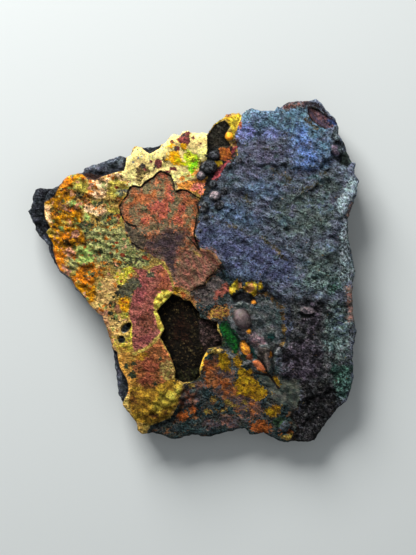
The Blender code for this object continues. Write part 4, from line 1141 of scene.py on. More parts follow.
UPPER_CRUST = [
    (235, 100), (350, 95), (350, 275), (300, 285), (225, 265), (195, 240), (205, 195), (240, 160),
]
CRUST_INKS = [
    crust_ink("crust", (112, 120, 135), (78, 85, 95), [BLUE_CRUST], edge=0.3, ragged=0.25),
    crust_ink("crust_teal", (110, 144, 164), (90, 111, 128), [
        [(241, 113), (262, 109), (285, 105), (306, 103), (310, 128), (296, 140), (272, 128), (256, 134),
         (240, 124)],
    ], share=0.45, ragged=1.6),
    crust_ink("crust_violet", (141, 150, 204), (101, 112, 157), [
        (246, 134, 12, 9, 0), (268, 136, 12, 5, 0),
    ], share=0.45, ragged=1.6),
    crust_ink("crust_blue", (118, 149, 210), (86, 111, 164), [
        (303, 152, 13, 9, 20), (312, 157, 9, 13, 60), (303, 137, 10, 9, 0),
    ], share=0.45, edge=6.0, ragged=2.4),
    crust_ink("crust_plum", (118, 118, 138), (82, 82, 98), [
        (266, 152, 22, 12, 0), (252, 172, 12, 8, 0), (336, 200, 6, 14, 0),
    ]),
    crust_ink("crust_steel", (104, 124, 150), (76, 92, 112), [
        (236, 216, 22, 12, 20), (245, 272, 16, 8, 10), (262, 190, 18, 7, 10),
    ]),
    crust_ink("crust_slate", (98, 105, 136), (72, 77, 101), [
        [(199, 222), (230, 226), (262, 240), (290, 258), (296, 282), (262, 280), (232, 270), (214, 250),
         (199, 245)],
    ]),
    crust_ink("crust_green", (106, 118, 116), (78, 91, 88), [
        (303, 214, 30, 24, 0), (322, 262, 20, 18, 0), (328, 185, 12, 12, 0),
    ], edge=4.0),
    crust_ink("crust_azure", (98, 138, 160), (80, 108, 124), [
        (318, 130, 8, 9, 20), (322, 150, 5, 8, 0),
    ], edge=4.0, ragged=2.0),
    ink("crust_creases", (104, 96, 72), (80, 76, 62), lines=[
        (1.5, [(282, 182), (290, 188), (300, 190.5), (310, 188), (318, 182), (323, 174)]),
        (1.2, [(270, 170), (280, 174), (290, 180)]), (1.2, [(305, 120), (312, 126), (318, 132)]),
        (1.2, [(262, 238), (272, 246), (283, 258)]), (1.2, [(246, 196), (250, 204), (248, 214)]),
        (1.2, [(226, 224), (238, 228), (250, 236)]), (1.2, [(264, 150), (272, 148), (278, 153)]),
        (1.2, [(300, 268), (310, 272), (320, 270)]),
    ], edge=0.5, ragged=1.6, finish="metal"),
    ink("crust_foot", (84, 86, 86), (42, 45, 46), [
        [(284, 298), (320, 300), (352, 300), (356, 330), (350, 372), (344, 400), (300, 400), (284, 375),
         (268, 340), (266, 306)],
    ], pattern="mottle", share=0.45, edge=4.0, ragged=2.0, finish="coarse"),
    ink("crust_indigo", (70, 77, 100), (42, 46, 60), [
        (276, 318, 13, 24, -10),
    ], pattern="mottle", edge=3.0, ragged=2.0, finish="coarse"),
    ink("crust_purple", (88, 80, 90), (36, 33, 38), [
        (302, 362, 20, 26, 0), (312, 318, 9, 16, 0),
    ], pattern="mottle", edge=4.0, ragged=2.0, finish="coarse"),
    ink("crust_teal_low", (120, 140, 136), (64, 83, 81), [
        (322, 279, 22, 11, 0), (338, 330, 11, 26, 0), (308, 282, 10, 6, 20),
    ], pattern="mottle", share=0.4, edge=3.0, ragged=2.0, finish="coarse"),
    ink("crust_edge_green", (88, 122, 110), (36, 56, 50), [
        [(333, 366), (352, 362), (353, 384), (346, 400), (334, 404)], (334, 288, 7, 5, 0),
    ], edge=1.6, ragged=1.8, finish="coarse"),
    ink("black_corner", (60, 59, 60), (12, 12, 13), [
        [(302, 384), (330, 382), (340, 398), (346, 404), (330, 424), (316, 446), (288, 448), (292, 438),
         (298, 428), (292, 417), (300, 404)],
    ], edge=1.6, ragged=1.4, finish="coarse"),
    ink("crust_teal_bits", (92, 114, 120), (74, 92, 98), [
        UPPER_CRUST,
    ], pattern="mottle", edge=4.0, finish="metal", spots=(4.0, 0.63, 0.08)),
    ink("crust_violet_bits", (104, 104, 126), (82, 82, 100), [
        (262, 170, 60, 60, 0),
    ], pattern="mottle", edge=4.0, finish="metal", spots=(4.4, 0.64, 0.08)),
    ink("crust_black_bits", (34, 36, 40), (24, 25, 30), [
        BLUE_CRUST,
    ], pattern="mottle", ragged=0.3, finish="metal", spots=(1.0, 0.68, 0.03)),
    ink("crust_flecks", (156, 122, 66), (116, 90, 56), [
        BLUE_CRUST,
    ], pattern="mottle", ragged=0.3, spots=(0.8, 0.71, 0.03)),
    # Painted glints: pale specks scattered over the black corner.
    ink("corner_painted_glints", (128, 124, 122), (92, 90, 90), [
        [(300, 384), (330, 378), (346, 396), (330, 424), (316, 446), (290, 446), (298, 428), (292, 417),
         (300, 404)],
    ], pattern="mottle", edge=2.0, ragged=1.5, finish="coarse", spots=(0.7, 0.68, 0.03)),
    ink("crust_lump", (134, 120, 122), (84, 78, 80), [(307, 310, 7.5, 4, 5)], ragged=0.4, finish="glossy"),
    # Painted shadow below the crust lump.
    ink("lump_shade", (14, 14, 15), (26, 26, 28), lines=[
        (3, [(300, 312), (303, 315), (309, 316), (314, 314)]),
    ], ragged=0.5),
    # Painted sheen: pale bluish spots on the tops of the crust's bumps, where the light catches them.
    ink("painted_sheen_tops", (128, 142, 168), (104, 116, 140), [
        (262, 178, 8, 3, 10), (290, 152, 7, 3, 0), (232, 225, 10, 3, 10), (250, 240, 8, 3, 15),
        (272, 210, 7, 3, 0), (320, 205, 7, 3, 0), (325, 247, 7, 3, 0), (240, 260, 9, 3, 10),
        (290, 275, 8, 3, 10), (276, 140, 8, 3, 0), (316, 150, 7, 3, 30), (258, 120, 7, 3, 0),
        (222, 240, 8, 3, 10), (340, 320, 4, 8, 0),
    ], edge=2.0, ragged=2.0, finish="metal", spots=(1.3, 0.52, 0.08)),
]

MARGIN_INKS = [
    ink("velvet_oval", (60, 56, 48), (34, 31, 23), [VELVET_OVAL], ragged=0.15, finish="velvet"),
    ink("crust_margin", (40, 42, 42), (64, 66, 62), [
        [(208, 150), (220, 146), (232, 145), (238, 155), (232, 164), (222, 172), (216, 182), (209, 192),
         (202, 203), (199, 222), (195, 232), (197, 214), (196, 202), (204, 192), (206, 178), (199, 176),
         (200, 166), (205, 160)],
    ], share=0.45, ragged=0.7, finish="metal"),
    ink("margin_orange", (204, 116, 44), (164, 84, 40), [
        [(219, 148), (230, 147), (232, 158), (224, 162), (219, 158)], (240, 124.5, 1.6, 3, 0),
    ], pattern="mottle", ragged=0.5),
    ink("margin_red", (132, 56, 44), (96, 44, 40), [(229, 115, 5, 1.8, 0), (236, 144, 2, 4, 10)]),
    ink("margin_yellow", (214, 186, 56), (190, 150, 30), [
        [(226, 118), (235, 115), (239, 113), (241.5, 115.5), (241, 119), (238, 125), (237, 130), (235, 134),
         (234, 139), (231, 140.5), (231, 128)], [(215, 161), (222, 161), (223, 166), (217, 167)],
    ], lines=[
        (1.6, [(216, 122.5), (220, 119.5), (226, 118)]),
    ], pattern="mottle", ragged=0.2),
    ink("margin_bead", (232, 158, 40), (206, 120, 30), [
        (229, 136.5, 4.2, 4.2, 0),
    ], pattern="mottle", share=0.3, ragged=0.1, finish="polished"),
    ink("margin_pink", (188, 86, 94), (160, 72, 72), [
        (234, 149.5, 2, 4.6, 10),
    ], lines=[
        (3, [(228, 162), (222, 168), (218, 174), (214, 180)]),
    ], ragged=0.6),
    ink("black_balls", (76, 78, 82), (24, 25, 27), BLACK_BALLS, ragged=0.15, finish="glossy"),
    # Painted highlights: pinkish light on two of the black balls.
    ink("ball_painted_highlights", (150, 134, 136), (92, 88, 90), [
        (215, 195, 4.4, 4, 0), (201, 174, 3, 2.4, 0),
    ], ragged=0.7, finish="glossy"),
    ink("round_lump", (112, 98, 112), (70, 62, 74), [(336, 151, 6, 4.4, 60)], ragged=0.6, finish="glossy"),
    ink("red_top_rim", (112, 76, 69), (84, 86, 88), [
        [(280, 108), (287, 102), (300, 100), (310, 100), (308, 105), (300, 108), (288, 111)],
    ], edge=0.5, ragged=1.2, finish="coarse"),
    ink("dark_lip", (26, 24, 26), (44, 38, 42), lines=[
        (3.4, [(304, 104), (315, 103), (321, 108), (327, 116)]),
    ]),
    ink("corner_flake", (111, 80, 82), (78, 67, 84), [
        CORNER_FLAKE,
    ], pattern="streak", edge=0.2, ragged=0.1),
    ink("corner_blue", (52, 64, 100), (34, 40, 62), [(331, 122, 6, 4, 20)], pattern="mottle", ragged=0.8),
    ink("edge_hollow", (24, 30, 28), (46, 56, 52), [
        [(338, 152), (348, 150), (351, 164), (346, 169), (340, 166)], (342, 142.5, 5, 1.6, 20),
    ]),
    ink("red_edges", (156, 112, 98), (116, 108, 102), [
        [(345, 286), (353, 284), (354, 320), (347, 320)], [(347, 208), (353, 198), (352, 212), (346, 222)],
    ], ragged=1.2),
    ink("silver_edge", (156, 172, 178), (90, 100, 106), [
        [(351, 176), (357, 179), (358, 187), (355, 194), (351, 199), (347, 207), (345, 213), (341, 216),
         (337, 210), (334, 203), (340, 197), (344, 189), (347, 182)],
    ], pattern="streak", share=0.3, ragged=0.5, finish="silver"),
    ink("silver_mottle", (148, 162, 166), (64, 72, 74), [
        [(341, 218), (349, 218), (350, 240), (353, 262), (355, 274), (352, 284), (343, 284), (339, 262),
         (340, 240)], (343, 149, 1.8, 2.2, 0), (336, 134, 2, 5, 20),
    ], edge=0.6, ragged=1.6, finish="silver"),
]

# Painted shadows: dark lines in the crevices along the flake's edges, along other ledges and between lumps.
EDGE_SHADOW_INKS = [
    ink("flake_edge_shadows", (20, 14, 12), (38, 30, 24), lines=[
        (2.0, [(119.5, 207), (121, 203), (124, 199.5), (127, 196), (128, 192), (130, 188), (133, 186),
         (137, 186.6), (140.5, 188), (143, 185), (146, 182), (150, 179.5), (154, 177), (157, 173.5),
         (160, 171.2), (165, 172.6), (171, 176)]), (1.5, [(171, 176), (173, 182), (174.5, 190)]),
        (2.0, [(176, 191.8), (180, 190), (186, 190.5), (191, 193), (195, 196), (201, 198.6)]),
        (1.7, [(197, 203), (199, 212), (196.5, 216), (195.8, 226), (194, 235), (197, 243), (199.5, 250)]),
        (2.4, [(126, 222), (130, 225), (136, 226.5)]), (1.3, [(119.6, 207), (121, 214), (124, 221)]),
        (1.4, [(187, 236), (191, 240), (196, 246), (199, 250)]),
        (1.4, [(126, 234), (131, 242), (139, 248), (146, 251)]),
    ], edge=0.2, ragged=0.17, finish="velvet"),
    ink("other_edge_shadows", (26, 22, 20), (44, 38, 34), lines=[
        (1.3, [(215, 269), (213, 274), (207, 278), (205, 285), (198, 287), (191, 292)]),
        (1.6, [(309, 107), (318, 110), (326, 116), (333, 118.5)]),
        (1.3, [(308, 108), (308.5, 115), (313, 122), (320, 127), (326, 130)]),
        (2.0, [(255, 373), (270, 376), (279, 389)]),
        (1.4, [(256, 355), (262, 362), (266, 368), (268, 374)]),
        (1.6, [(273, 352), (273, 362), (270, 373)]),
        (2.0, [(300, 402), (299, 408), (293, 413), (291, 417), (294, 420), (300, 430), (297, 433),
         (293, 440)]), (1.2, [(208, 134), (207.5, 145), (208, 155)]),
        (1.2, [(336, 142), (343, 142), (348, 147)]),
    ], edge=0.25, ragged=0.25, finish="velvet"),
]

BARE_INKS = [
    ink("bare_layer", (50, 54, 62), (92, 97, 106), pattern="mottle", share=0.4, edge=0.15, ragged=0.15,
        finish="glossy", outside=YELLOW_LAYER),
    ink("bare_red", (104, 72, 60), (70, 54, 50), [
        [(82, 172), (88, 172), (100, 175), (101, 178), (95, 181), (86, 178)],
    ], pattern="mottle", ragged=0.5),
    # Painted glints: bright bluish specks on the bare dark layer along the top edge.
    ink("bare_painted_glints", (124, 130, 144), (98, 102, 112), [
        [(62, 180), (84, 164), (128, 152), (170, 134), (170, 150), (126, 166), (106, 173), (84, 172)],
    ], pattern="mottle", edge=0.6, finish="glossy", spots=(0.9, 0.6, 0.05)),
    ink("bare_tip", (34, 36, 41), (58, 62, 67), [
        [(20, 180), (61, 183), (57, 192), (54, 196), (44, 203), (44, 210), (45, 219), (51, 228), (46, 231),
         (40, 242), (20, 240)],
    ], edge=0.6, ragged=0.15, finish="coarse"),
]

DARK_INKS = [
    ink("dark_ground", (57, 65, 64), (66, 64, 55), [
        MIDDLE_GROUND, BLUE_CRUST,
        [(216, 256), (262, 274), (276, 340), (312, 372), (306, 442), (270, 420), (240, 330)],
    ], pattern="mottle", share=0.35, edge=0.2, ragged=0.2, finish="coarse"),
    ink("ground_teal", (50, 68, 68), (34, 48, 50), [
        MIDDLE_GROUND,
    ], pattern="mottle", finish="coarse", spots=(4.0, 0.5, 0.06)),
    ink("ground_brown", (122, 80, 50), (92, 62, 40), [
        MIDDLE_GROUND,
    ], pattern="mottle", spots=(2.6, 0.63, 0.05)),
    ink("ground_ochre", (166, 124, 44), (130, 98, 40), [
        MIDDLE_GROUND,
    ], pattern="mottle", spots=(1.0, 0.71, 0.03)),
    ink("ground_black", (20, 20, 20), (30, 30, 32), [
        MIDDLE_GROUND,
    ], pattern="mottle", finish="glossy", spots=(1.6, 0.67, 0.05)),
]

INKS = (
    YELLOW_INKS + YELLOW_SPOTS + CREAM_INKS + DARK_INKS + CRUST_INKS + MIDDLE_INKS + MARGIN_INKS + FLAKE_INKS
    + LOWER_LEFT_INKS + BARE_INKS + PIT_INKS + EDGE_SHADOW_INKS
)


# Past this distance in metres an ink has no say
FAR_OUTSIDE = 5.0 * MM


def raise_near(best, points, corners, reach, distance):
    """Raise the best distances to a shape's own, for the points that are near its corners' box."""
    corners = np.array(corners)
    low, high = corners.min(axis=0) - reach, corners.max(axis=0) + reach
    near = np.all((points > low) & (points < high), axis=1)
    if near.any():
        best[near] = np.maximum(best[near], distance(points[near]))


def ink_distance(points, one_ink):
    """Distance in metres inside an ink's nearest shape, negative outside."""
    reach = FAR_OUTSIDE / PIXEL
    best = np.full(len(points), -reach)
    for shape in one_ink["shapes"]:
        if isinstance(shape, list):
            raise_near(best, points, shape, reach, lambda near: inside_distance(near, shape))
        else:
            x, y, half_length, half_width, _ = shape[:5]
            whole = max(half_length, half_width)
            corners = [(x - whole, y - whole), (x + whole, y + whole)]
            small = min(half_length, half_width)
            raise_near(best, points, corners, reach, lambda near: (1.0 - ellipse_radius(near, shape)) * small)
    for width, line in one_ink["lines"]:
        raise_near(best, points, line, reach, lambda near: 0.5 * width - line_distance(near, line))
    if one_ink["outside"]:
        best = np.maximum(best, -inside_distance(points, one_ink["outside"]))
    return best * PIXEL


def standing_out(places, faces, passes):
    """How far each vertex stands above its surroundings, in metres, from repeated averaging."""
    edges = np.concatenate((faces[:, [0, 1]], faces[:, [1, 2]], faces[:, [2, 0]]))
    edges = np.concatenate((edges, edges[:, ::-1]))
    count = np.bincount(edges[:, 0], minlength=len(places))
    smooth = places[:, 2].copy()
    for _ in range(passes):
        around = np.bincount(edges[:, 0], weights=smooth[edges[:, 1]], minlength=len(places))
        smooth = 0.5 * smooth + 0.5 * around / count
    return places[:, 2] - smooth


def add_field(mesh, name, values):
    """Store one number for each vertex for the material to read."""
    layer = mesh.attributes.new(name, "FLOAT", "POINT")
    layer.data.foreach_set("value", values.astype(np.float32))


def build_stone():
    """The stone's mesh with the fields that its material reads."""
    places, faces, skin_picture, depth = stone_shape()
    mesh = bpy.data.meshes.new("turgite_stone")
    mesh.from_pydata(places.tolist(), [], faces.tolist())
    mesh.shade_smooth()
    for one_ink in INKS:
        reach = np.full(len(places), -FAR_OUTSIDE)
        reach[:len(skin_picture)] = ink_distance(skin_picture, one_ink)
        add_field(mesh, one_ink["name"], reach)
    add_field(mesh, "below_face", depth)
    add_field(mesh, "standing_out", standing_out(places, faces, RELIEF_PASSES))
    add_field(mesh, "standing_out_broad", standing_out(places, faces, BROAD_RELIEF_PASSES))
    stone = bpy.data.objects.new("turgite_stone", mesh)
    bpy.context.collection.objects.link(stone)
    return stone


# How the relief and the fields turn into looks, with painted shade in creases and painted light on tops
RELIEF_PASSES = 14
BROAD_RELIEF_PASSES = 90
RELIEF_RANGE = 0.22 * MM
BROAD_RELIEF_RANGE = 0.75 * MM
VALLEY_SHADE = 0.55
TOP_SHADE = 1.16
BROAD_VALLEY_SHADE = 0.72
BROAD_TOP_SHADE = 1.2
GRIT_GAIN = 3.2
BUMP_HEIGHT = 1.1 * MM
BUMP_SHARE = 0.7
FOLD_TURN = 26.0
FOLD_STRETCH = 2.0
FOLD_SIZE = 1.8 * MM
FOLD_SHARE = 0.17
MEAN_FOLD = 0.28
CREASE_WIDTH = 0.16
FOLDED_SIZE = 2.6 * MM
STREAK_TURN = 62.0
STREAK_STRETCH = 3.3
STREAK_SIZE = 2.6 * MM
SAND_SIZE = 0.5 * MM
SAND_SHARE = 0.95
LEAST_GRAIN = 0.2
MEAN_GRAIN = 1.12
PIT_SIZE = 0.55 * MM
PIT_LEVELS = (0.34, 0.44)
PIT_DEPTH = 0.15
TINT_SIZE = 1.5 * MM
TINT_SWING = 0.45
SPECULAR = 0.12
ROUGHNESS_SWING = 0.1
GRIT_RANGE = 0.2

# Sizes of the patterns and of what frays an ink's edge
BLOTCH_SIZE = 4.2 * MM
MOTTLE_SIZE = 1.8 * MM
SPECK_SIZE = 0.8 * MM
BROAD_FRAY_SIZE = 2.8 * MM
FINE_FRAY_SIZE = 0.8 * MM

# The broken stone of the wall and the back, below the coloured skin
BROKEN_COLOURS = ((52, 44, 40), (78, 66, 58))
BED_COLOUR = (38, 34, 35)
RUST_COLOUR = (126, 76, 44)
OCHRE_COLOUR = (150, 116, 62)
BROKEN_BLOTCH_SIZE = 8.0 * MM
BROKEN_MOTTLE_SIZE = 2.1 * MM
OCHRE_SIZE = 3.4 * MM
BED_THICKNESS = 1.3 * MM
BED_SWING = 3.0 * MM
SKIN_FRAY = 1.4 * MM
SKIN_END = (-0.2 * MM, 0.3 * MM)

# Noise levels that split a pattern's two colours, how far an edge strays for each mm of raggedness, and how
# far apart in the noise the scattered spots of two inks are
PATTERN_MIDDLE = 0.5
PATTERN_SWING = 0.36
PATTERN_SOFT = 0.06
FOLDED_SOFT = 0.16
EDGE_WANDER = 4.2
SPOT_SHIFT = 0.07
BARE_LEVELS = (0.42, 0.62)


def linear(screen_colour):
    """Scene-linear colour, with alpha, of a screen colour given in 0 to 255."""
    shares = [value / 255.0 for value in screen_colour]
    light = [s / 12.92 if s <= 0.04045 else ((s + 0.055) / 1.055) ** 2.4 for s in shares]
    return (*light, 1.0)


def feed(tree, socket, value):
    """Link a node's output to a socket, or set the socket to a plain value."""
    if isinstance(value, bpy.types.NodeSocket):
        tree.links.new(value, socket)
    else:
        socket.default_value = value


def calculate(tree, operation, *values):
    node = tree.nodes.new("ShaderNodeMath")
    node.operation = operation
    for socket, value in zip(node.inputs, values):
        feed(tree, socket, value)
    return node.outputs[0]


def ramp(tree, value, low, high, to_low=0.0, to_high=1.0):
    """A smooth change from one value to another between two levels of an input."""
    node = tree.nodes.new("ShaderNodeMapRange")
    node.interpolation_type = "SMOOTHSTEP"
    for name, number in (("Value", value), ("From Min", low), ("From Max", high),
                         ("To Min", to_low), ("To Max", to_high)):
        feed(tree, node.inputs[name], number)
    return node.outputs["Result"]


def mix(tree, kind, factor, first, second):
    """Mix two colours (RGBA) or two vectors (VECTOR)."""
    node = tree.nodes.new("ShaderNodeMix")
    node.data_type = kind
    sockets = [socket for socket in node.inputs if socket.enabled]
    for socket, value in zip(sockets, (factor, first, second)):
        feed(tree, socket, value)
    return next(socket for socket in node.outputs if socket.enabled)


def field(tree, name):
    """One of the mesh's fields."""
    node = tree.nodes.new("ShaderNodeAttribute")
    node.attribute_name = name
    return node.outputs["Fac"]


def speckle(tree, where, size, detail=2.0, roughness=0.6, distortion=0.0):
    """Cloudy noise between 0 and 1 with patches of the given size."""
    node = tree.nodes.new("ShaderNodeTexNoise")
    feed(tree, node.inputs["Vector"], where)
    node.inputs["Scale"].default_value = 1.0 / size
    node.inputs["Detail"].default_value = detail
    node.inputs["Roughness"].default_value = roughness
    node.inputs["Distortion"].default_value = distortion
    return node.outputs["Fac"]


def stretched(tree, where, turn, stretch):
    """Coordinates for streaks that run down to the right by an angle, and are longer than wide."""
    node = tree.nodes.new("ShaderNodeMapping")
    node.vector_type = "TEXTURE"
    feed(tree, node.inputs["Vector"], where)
    node.inputs["Rotation"].default_value = (0.0, 0.0, -math.radians(turn))
    node.inputs["Scale"].default_value = (1.0, 1.0 / stretch, 1.0)
    return node.outputs["Vector"]


def shifted(tree, where, amount):
    """Coordinates moved far off, where noise takes other shapes."""
    node = tree.nodes.new("ShaderNodeMapping")
    feed(tree, node.inputs["Vector"], where)
    node.inputs["Location"].default_value = (amount, amount, amount)
    return node.outputs["Vector"]


def paint_inks(tree, where):
    """Colour, and metallic, roughness and grain as one vector, of the face."""
    patterns = {
        "blotch": speckle(tree, where, BLOTCH_SIZE, detail=5.0, roughness=0.65),
        "mottle": speckle(tree, where, MOTTLE_SIZE, detail=5.0, roughness=0.68, distortion=0.4),
        "speck": speckle(tree, where, SPECK_SIZE, detail=4.0, roughness=0.65),
        "folded": speckle(tree, stretched(tree, where, FOLD_TURN, FOLD_STRETCH), FOLDED_SIZE, detail=5.0,
                          roughness=0.65),
        "streak": speckle(tree, stretched(tree, where, STREAK_TURN, STREAK_STRETCH), STREAK_SIZE, detail=3.0),
    }
    broad_edge = speckle(tree, where, BROAD_FRAY_SIZE, detail=5.0, roughness=0.7)
    fine_edge = speckle(tree, where, FINE_FRAY_SIZE, detail=4.0, roughness=0.7)
    edge_noise = calculate(tree, "SUBTRACT", calculate(tree, "ADD", broad_edge, fine_edge), 1.0)
    bare = ramp(tree, patterns["mottle"], *BARE_LEVELS)
    colour = mix(tree, "RGBA", bare, linear(BARE_LAYER[0]), linear(BARE_LAYER[1]))
    finish = FINISHES["glossy"]
    for number, one_ink in enumerate(INKS):
        wander = calculate(tree, "MULTIPLY", edge_noise, one_ink["ragged"] * MM * EDGE_WANDER)
        reach = calculate(tree, "ADD", wander, field(tree, one_ink["name"]))
        cover = ramp(tree, reach, -0.5 * one_ink["edge"] * MM, 0.5 * one_ink["edge"] * MM)
        if one_ink["spots"]:
            size, level, soft = one_ink["spots"]
            spots = speckle(tree, shifted(tree, where, SPOT_SHIFT * (number + 1)), size * MM, detail=3.0)
            cover = calculate(tree, "MULTIPLY", cover, ramp(tree, spots, level - soft, level + soft))
        level = PATTERN_MIDDLE + PATTERN_SWING * (0.5 - one_ink["share"])
        soft = FOLDED_SOFT if one_ink["pattern"] == "folded" else PATTERN_SOFT
        pattern = ramp(tree, patterns[one_ink["pattern"]], level - soft, level + soft)
        own = mix(tree, "RGBA", pattern, linear(one_ink["first"]), linear(one_ink["second"]))
        colour = mix(tree, "RGBA", cover, colour, own)
        finish = mix(tree, "VECTOR", cover, finish, FINISHES[one_ink["finish"]])
    return colour, finish


def scaled(tree, colour, amount):
    """A colour multiplied by a number."""
    node = tree.nodes.new("ShaderNodeVectorMath")
    node.operation = "SCALE"
    feed(tree, node.inputs[0], colour)
    feed(tree, node.inputs["Scale"], amount)
    return node.outputs[0]


def tinted(tree, colour, where):
    """The colour with its red, green and blue shifted a little from place to place."""
    noise_node = tree.nodes.new("ShaderNodeTexNoise")
    feed(tree, noise_node.inputs["Vector"], where)
    noise_node.inputs["Scale"].default_value = 1.0 / TINT_SIZE
    noise_node.inputs["Detail"].default_value = 3.0
    shares = tree.nodes.new("ShaderNodeVectorMath")
    shares.operation = "MULTIPLY_ADD"
    feed(tree, shares.inputs[0], noise_node.outputs["Color"])
    shares.inputs[1].default_value = (TINT_SWING,) * 3
    shares.inputs[2].default_value = (1.0 - 0.5 * TINT_SWING,) * 3
    whole = tree.nodes.new("ShaderNodeVectorMath")
    whole.operation = "MULTIPLY"
    feed(tree, whole.inputs[0], colour)
    feed(tree, whole.inputs[1], shares.outputs[0])
    return whole.outputs[0]


def shade_relief(tree, colour, grit, strength):
    """Paint shade into creases and light onto tops; the grain too is darker in its creases and pits."""
    fine = ramp(tree, field(tree, "standing_out"), -RELIEF_RANGE, RELIEF_RANGE, VALLEY_SHADE, TOP_SHADE)
    broad = ramp(tree, field(tree, "standing_out_broad"), -BROAD_RELIEF_RANGE, BROAD_RELIEF_RANGE,
                 BROAD_VALLEY_SHADE, BROAD_TOP_SHADE)
    swing = calculate(tree, "MULTIPLY", calculate(tree, "MULTIPLY", grit, strength), GRIT_GAIN)
    grain = calculate(tree, "MAXIMUM", calculate(tree, "ADD", swing, MEAN_GRAIN), LEAST_GRAIN)
    return scaled(tree, colour, calculate(tree, "MULTIPLY", calculate(tree, "MULTIPLY", fine, broad), grain))


def broken_stone(tree, where):
    """Colour of the broken edge and the back: dark brown iron oxide in thin beds, with rust and ochre."""
    apart = tree.nodes.new("ShaderNodeSeparateXYZ")
    feed(tree, apart.inputs[0], where)
    blotch = speckle(tree, where, BROKEN_BLOTCH_SIZE, detail=4.0)
    mottle = speckle(tree, where, BROKEN_MOTTLE_SIZE, detail=4.0, roughness=0.65)
    bent = calculate(tree, "ADD", apart.outputs["Z"], calculate(tree, "MULTIPLY", blotch, BED_SWING))
    beds = calculate(tree, "SINE", calculate(tree, "MULTIPLY", bent, 2.0 * math.pi / BED_THICKNESS))
    dark, light = (linear(screen_colour) for screen_colour in BROKEN_COLOURS)
    colour = mix(tree, "RGBA", ramp(tree, mottle, 0.35, 0.65), dark, light)
    colour = mix(tree, "RGBA", ramp(tree, beds, -0.2, 0.9, 0.0, 0.45), colour, linear(BED_COLOUR))
    rust = calculate(tree, "MULTIPLY", ramp(tree, blotch, 0.5, 0.66), ramp(tree, mottle, 0.36, 0.6))
    colour = mix(tree, "RGBA", rust, colour, linear(RUST_COLOUR))
    ochre = ramp(tree, speckle(tree, where, OCHRE_SIZE, detail=4.0, distortion=0.6), 0.6, 0.7, 0.0, 0.8)
    return mix(tree, "RGBA", ochre, colour, linear(OCHRE_COLOUR))


def fine_grain(tree, where):
    """Height, around 0, of the fine grain: rounded folds with creases between them, sand and small pits."""
    folds = speckle(tree, stretched(tree, where, FOLD_TURN, FOLD_STRETCH), FOLD_SIZE, detail=3.0)
    from_crease = calculate(tree, "ABSOLUTE", calculate(tree, "SUBTRACT", folds, 0.5))
    crease, top = -MEAN_FOLD * FOLD_SHARE, (1.0 - MEAN_FOLD) * FOLD_SHARE
    rounded = ramp(tree, from_crease, 0.0, CREASE_WIDTH, crease, top)
    sand = calculate(tree, "SUBTRACT", speckle(tree, where, SAND_SIZE, detail=3.0, roughness=0.65), 0.5)
    pits = ramp(tree, speckle(tree, shifted(tree, where, 1.0), PIT_SIZE), *PIT_LEVELS, -PIT_DEPTH, 0.0)
    coarse = calculate(tree, "ADD", rounded, calculate(tree, "MULTIPLY", sand, SAND_SHARE))
    return calculate(tree, "ADD", coarse, pits)


def stone_material():
    """Iron oxide under its coloured skin: the inks on the face, broken stone below and behind."""
    material = bpy.data.materials.new("iridescent_iron_oxide_skin")
    material.use_nodes = True
    tree = material.node_tree
    shader = tree.nodes["Principled BSDF"]
    where = tree.nodes.new("ShaderNodeTexCoord").outputs["Object"]
    colour, finish = paint_inks(tree, where)
    skin_edge = calculate(tree, "MULTIPLY", speckle(tree, where, SKIN_FRAY, detail=3.0), SKIN_FRAY)
    depth = calculate(tree, "SUBTRACT", field(tree, "below_face"), skin_edge)
    broken = ramp(tree, depth, *SKIN_END)
    colour = mix(tree, "RGBA", broken, colour, broken_stone(tree, where))
    finish = mix(tree, "VECTOR", broken, finish, FINISHES["dull"])
    parts = tree.nodes.new("ShaderNodeSeparateXYZ")
    feed(tree, parts.inputs[0], finish)
    grit = fine_grain(tree, where)
    colour = tinted(tree, colour, where)
    feed(tree, shader.inputs["Base Color"], shade_relief(tree, colour, grit, parts.outputs["Z"]))
    feed(tree, shader.inputs["Metallic"], parts.outputs["X"])
    unevenness = ramp(tree, grit, -GRIT_RANGE, GRIT_RANGE, -ROUGHNESS_SWING, ROUGHNESS_SWING)
    feed(tree, shader.inputs["Roughness"], calculate(tree, "ADD", parts.outputs["Y"], unevenness))
    shader.inputs["Specular IOR Level"].default_value = SPECULAR
    bump = tree.nodes.new("ShaderNodeBump")
    strength = calculate(tree, "MULTIPLY", parts.outputs["Z"], BUMP_SHARE)
    feed(tree, bump.inputs["Strength"], calculate(tree, "MINIMUM", strength, 1.0))
    bump.inputs["Distance"].default_value = BUMP_HEIGHT
    feed(tree, bump.inputs["Height"], grit)
    feed(tree, shader.inputs["Normal"], bump.outputs["Normal"])
    return material


# The studio, in metres, watts and screen colours, with the picture's size in pixels and the sensor's in mm
FLOOR_WIDTH = 3.0
FLOOR_COLOUR = (210, 214, 212)
FLOOR_ROUGHNESS = 0.8
WORLD_COLOUR = (232, 238, 244)
WORLD_STRENGTH = 0.27
KEY_PLACE = (-0.22, 0.49, 0.31)
KEY_WIDTH = 0.34
KEY_POWER = 6.7
FILL_PLACE = (0.30, -0.20, 0.55)
FILL_WIDTH = 0.5
FILL_POWER = 0.3
PHOTO_MIDDLE = (208.0, 277.5)
PHOTO_HEIGHT = 555.0
CAMERA_DISTANCE = 0.45
SENSOR = 36.0
NEAR_CLIP = 0.01


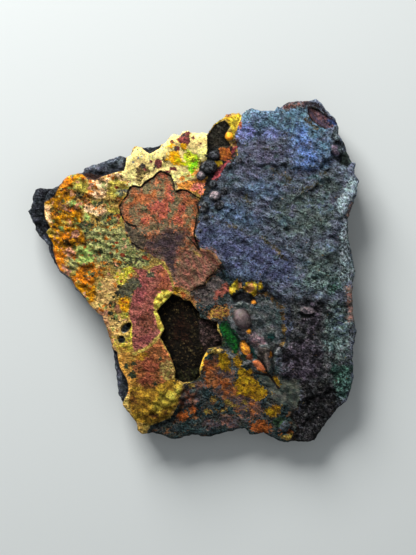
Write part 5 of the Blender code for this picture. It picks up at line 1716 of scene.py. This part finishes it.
def add_floor():
    mesh = bpy.data.meshes.new("floor")
    half = 0.5 * FLOOR_WIDTH
    corners = [(-half, -half, 0.0), (half, -half, 0.0), (half, half, 0.0), (-half, half, 0.0)]
    mesh.from_pydata(corners, [], [(0, 1, 2, 3)])
    floor = bpy.data.objects.new("floor", mesh)
    bpy.context.collection.objects.link(floor)
    material = bpy.data.materials.new("pale_floor")
    material.use_nodes = True
    shader = material.node_tree.nodes["Principled BSDF"]
    shader.inputs["Base Color"].default_value = linear(FLOOR_COLOUR)
    shader.inputs["Roughness"].default_value = FLOOR_ROUGHNESS
    mesh.materials.append(material)


def add_light(name, place_at, width, power):
    """A square soft light that faces the stone."""
    light = bpy.data.lights.new(name, "AREA")
    light.shape = "SQUARE"
    light.size = width
    light.energy = power
    lamp = bpy.data.objects.new(name, light)
    lamp.location = place_at
    lamp.rotation_euler = (-Vector(place_at)).to_track_quat("-Z", "Y").to_euler()
    bpy.context.collection.objects.link(lamp)


def add_world():
    world = bpy.data.worlds.new("studio")
    world.use_nodes = True
    background = world.node_tree.nodes["Background"]
    background.inputs["Color"].default_value = linear(WORLD_COLOUR)
    background.inputs["Strength"].default_value = WORLD_STRENGTH
    bpy.context.scene.world = world


def add_camera():
    """A camera that looks straight down and frames the stone as the picture does."""
    middle_x, middle_y = PICTURE_MIDDLE
    camera = bpy.data.cameras.new("camera")
    camera.sensor_fit = "VERTICAL"
    camera.sensor_height = SENSOR
    camera.lens = SENSOR * CAMERA_DISTANCE / (PHOTO_HEIGHT * PIXEL)
    camera.clip_start = NEAR_CLIP
    eye = bpy.data.objects.new("camera", camera)
    x = (PHOTO_MIDDLE[0] - middle_x) * PIXEL
    y = (middle_y - PHOTO_MIDDLE[1]) * PIXEL
    eye.location = (x, y, FACE_LEVEL + CAMERA_DISTANCE)
    bpy.context.collection.objects.link(eye)
    bpy.context.scene.camera = eye


def main():
    stone = build_stone()
    stone.data.materials.append(stone_material())
    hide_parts("turgite")
    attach(stone, "root")
    add_floor()
    add_light("key", KEY_PLACE, KEY_WIDTH, KEY_POWER)
    add_light("fill", FILL_PLACE, FILL_WIDTH, FILL_POWER)
    add_world()
    add_camera()
    bpy.context.scene.view_settings.view_transform = "Standard"


main()
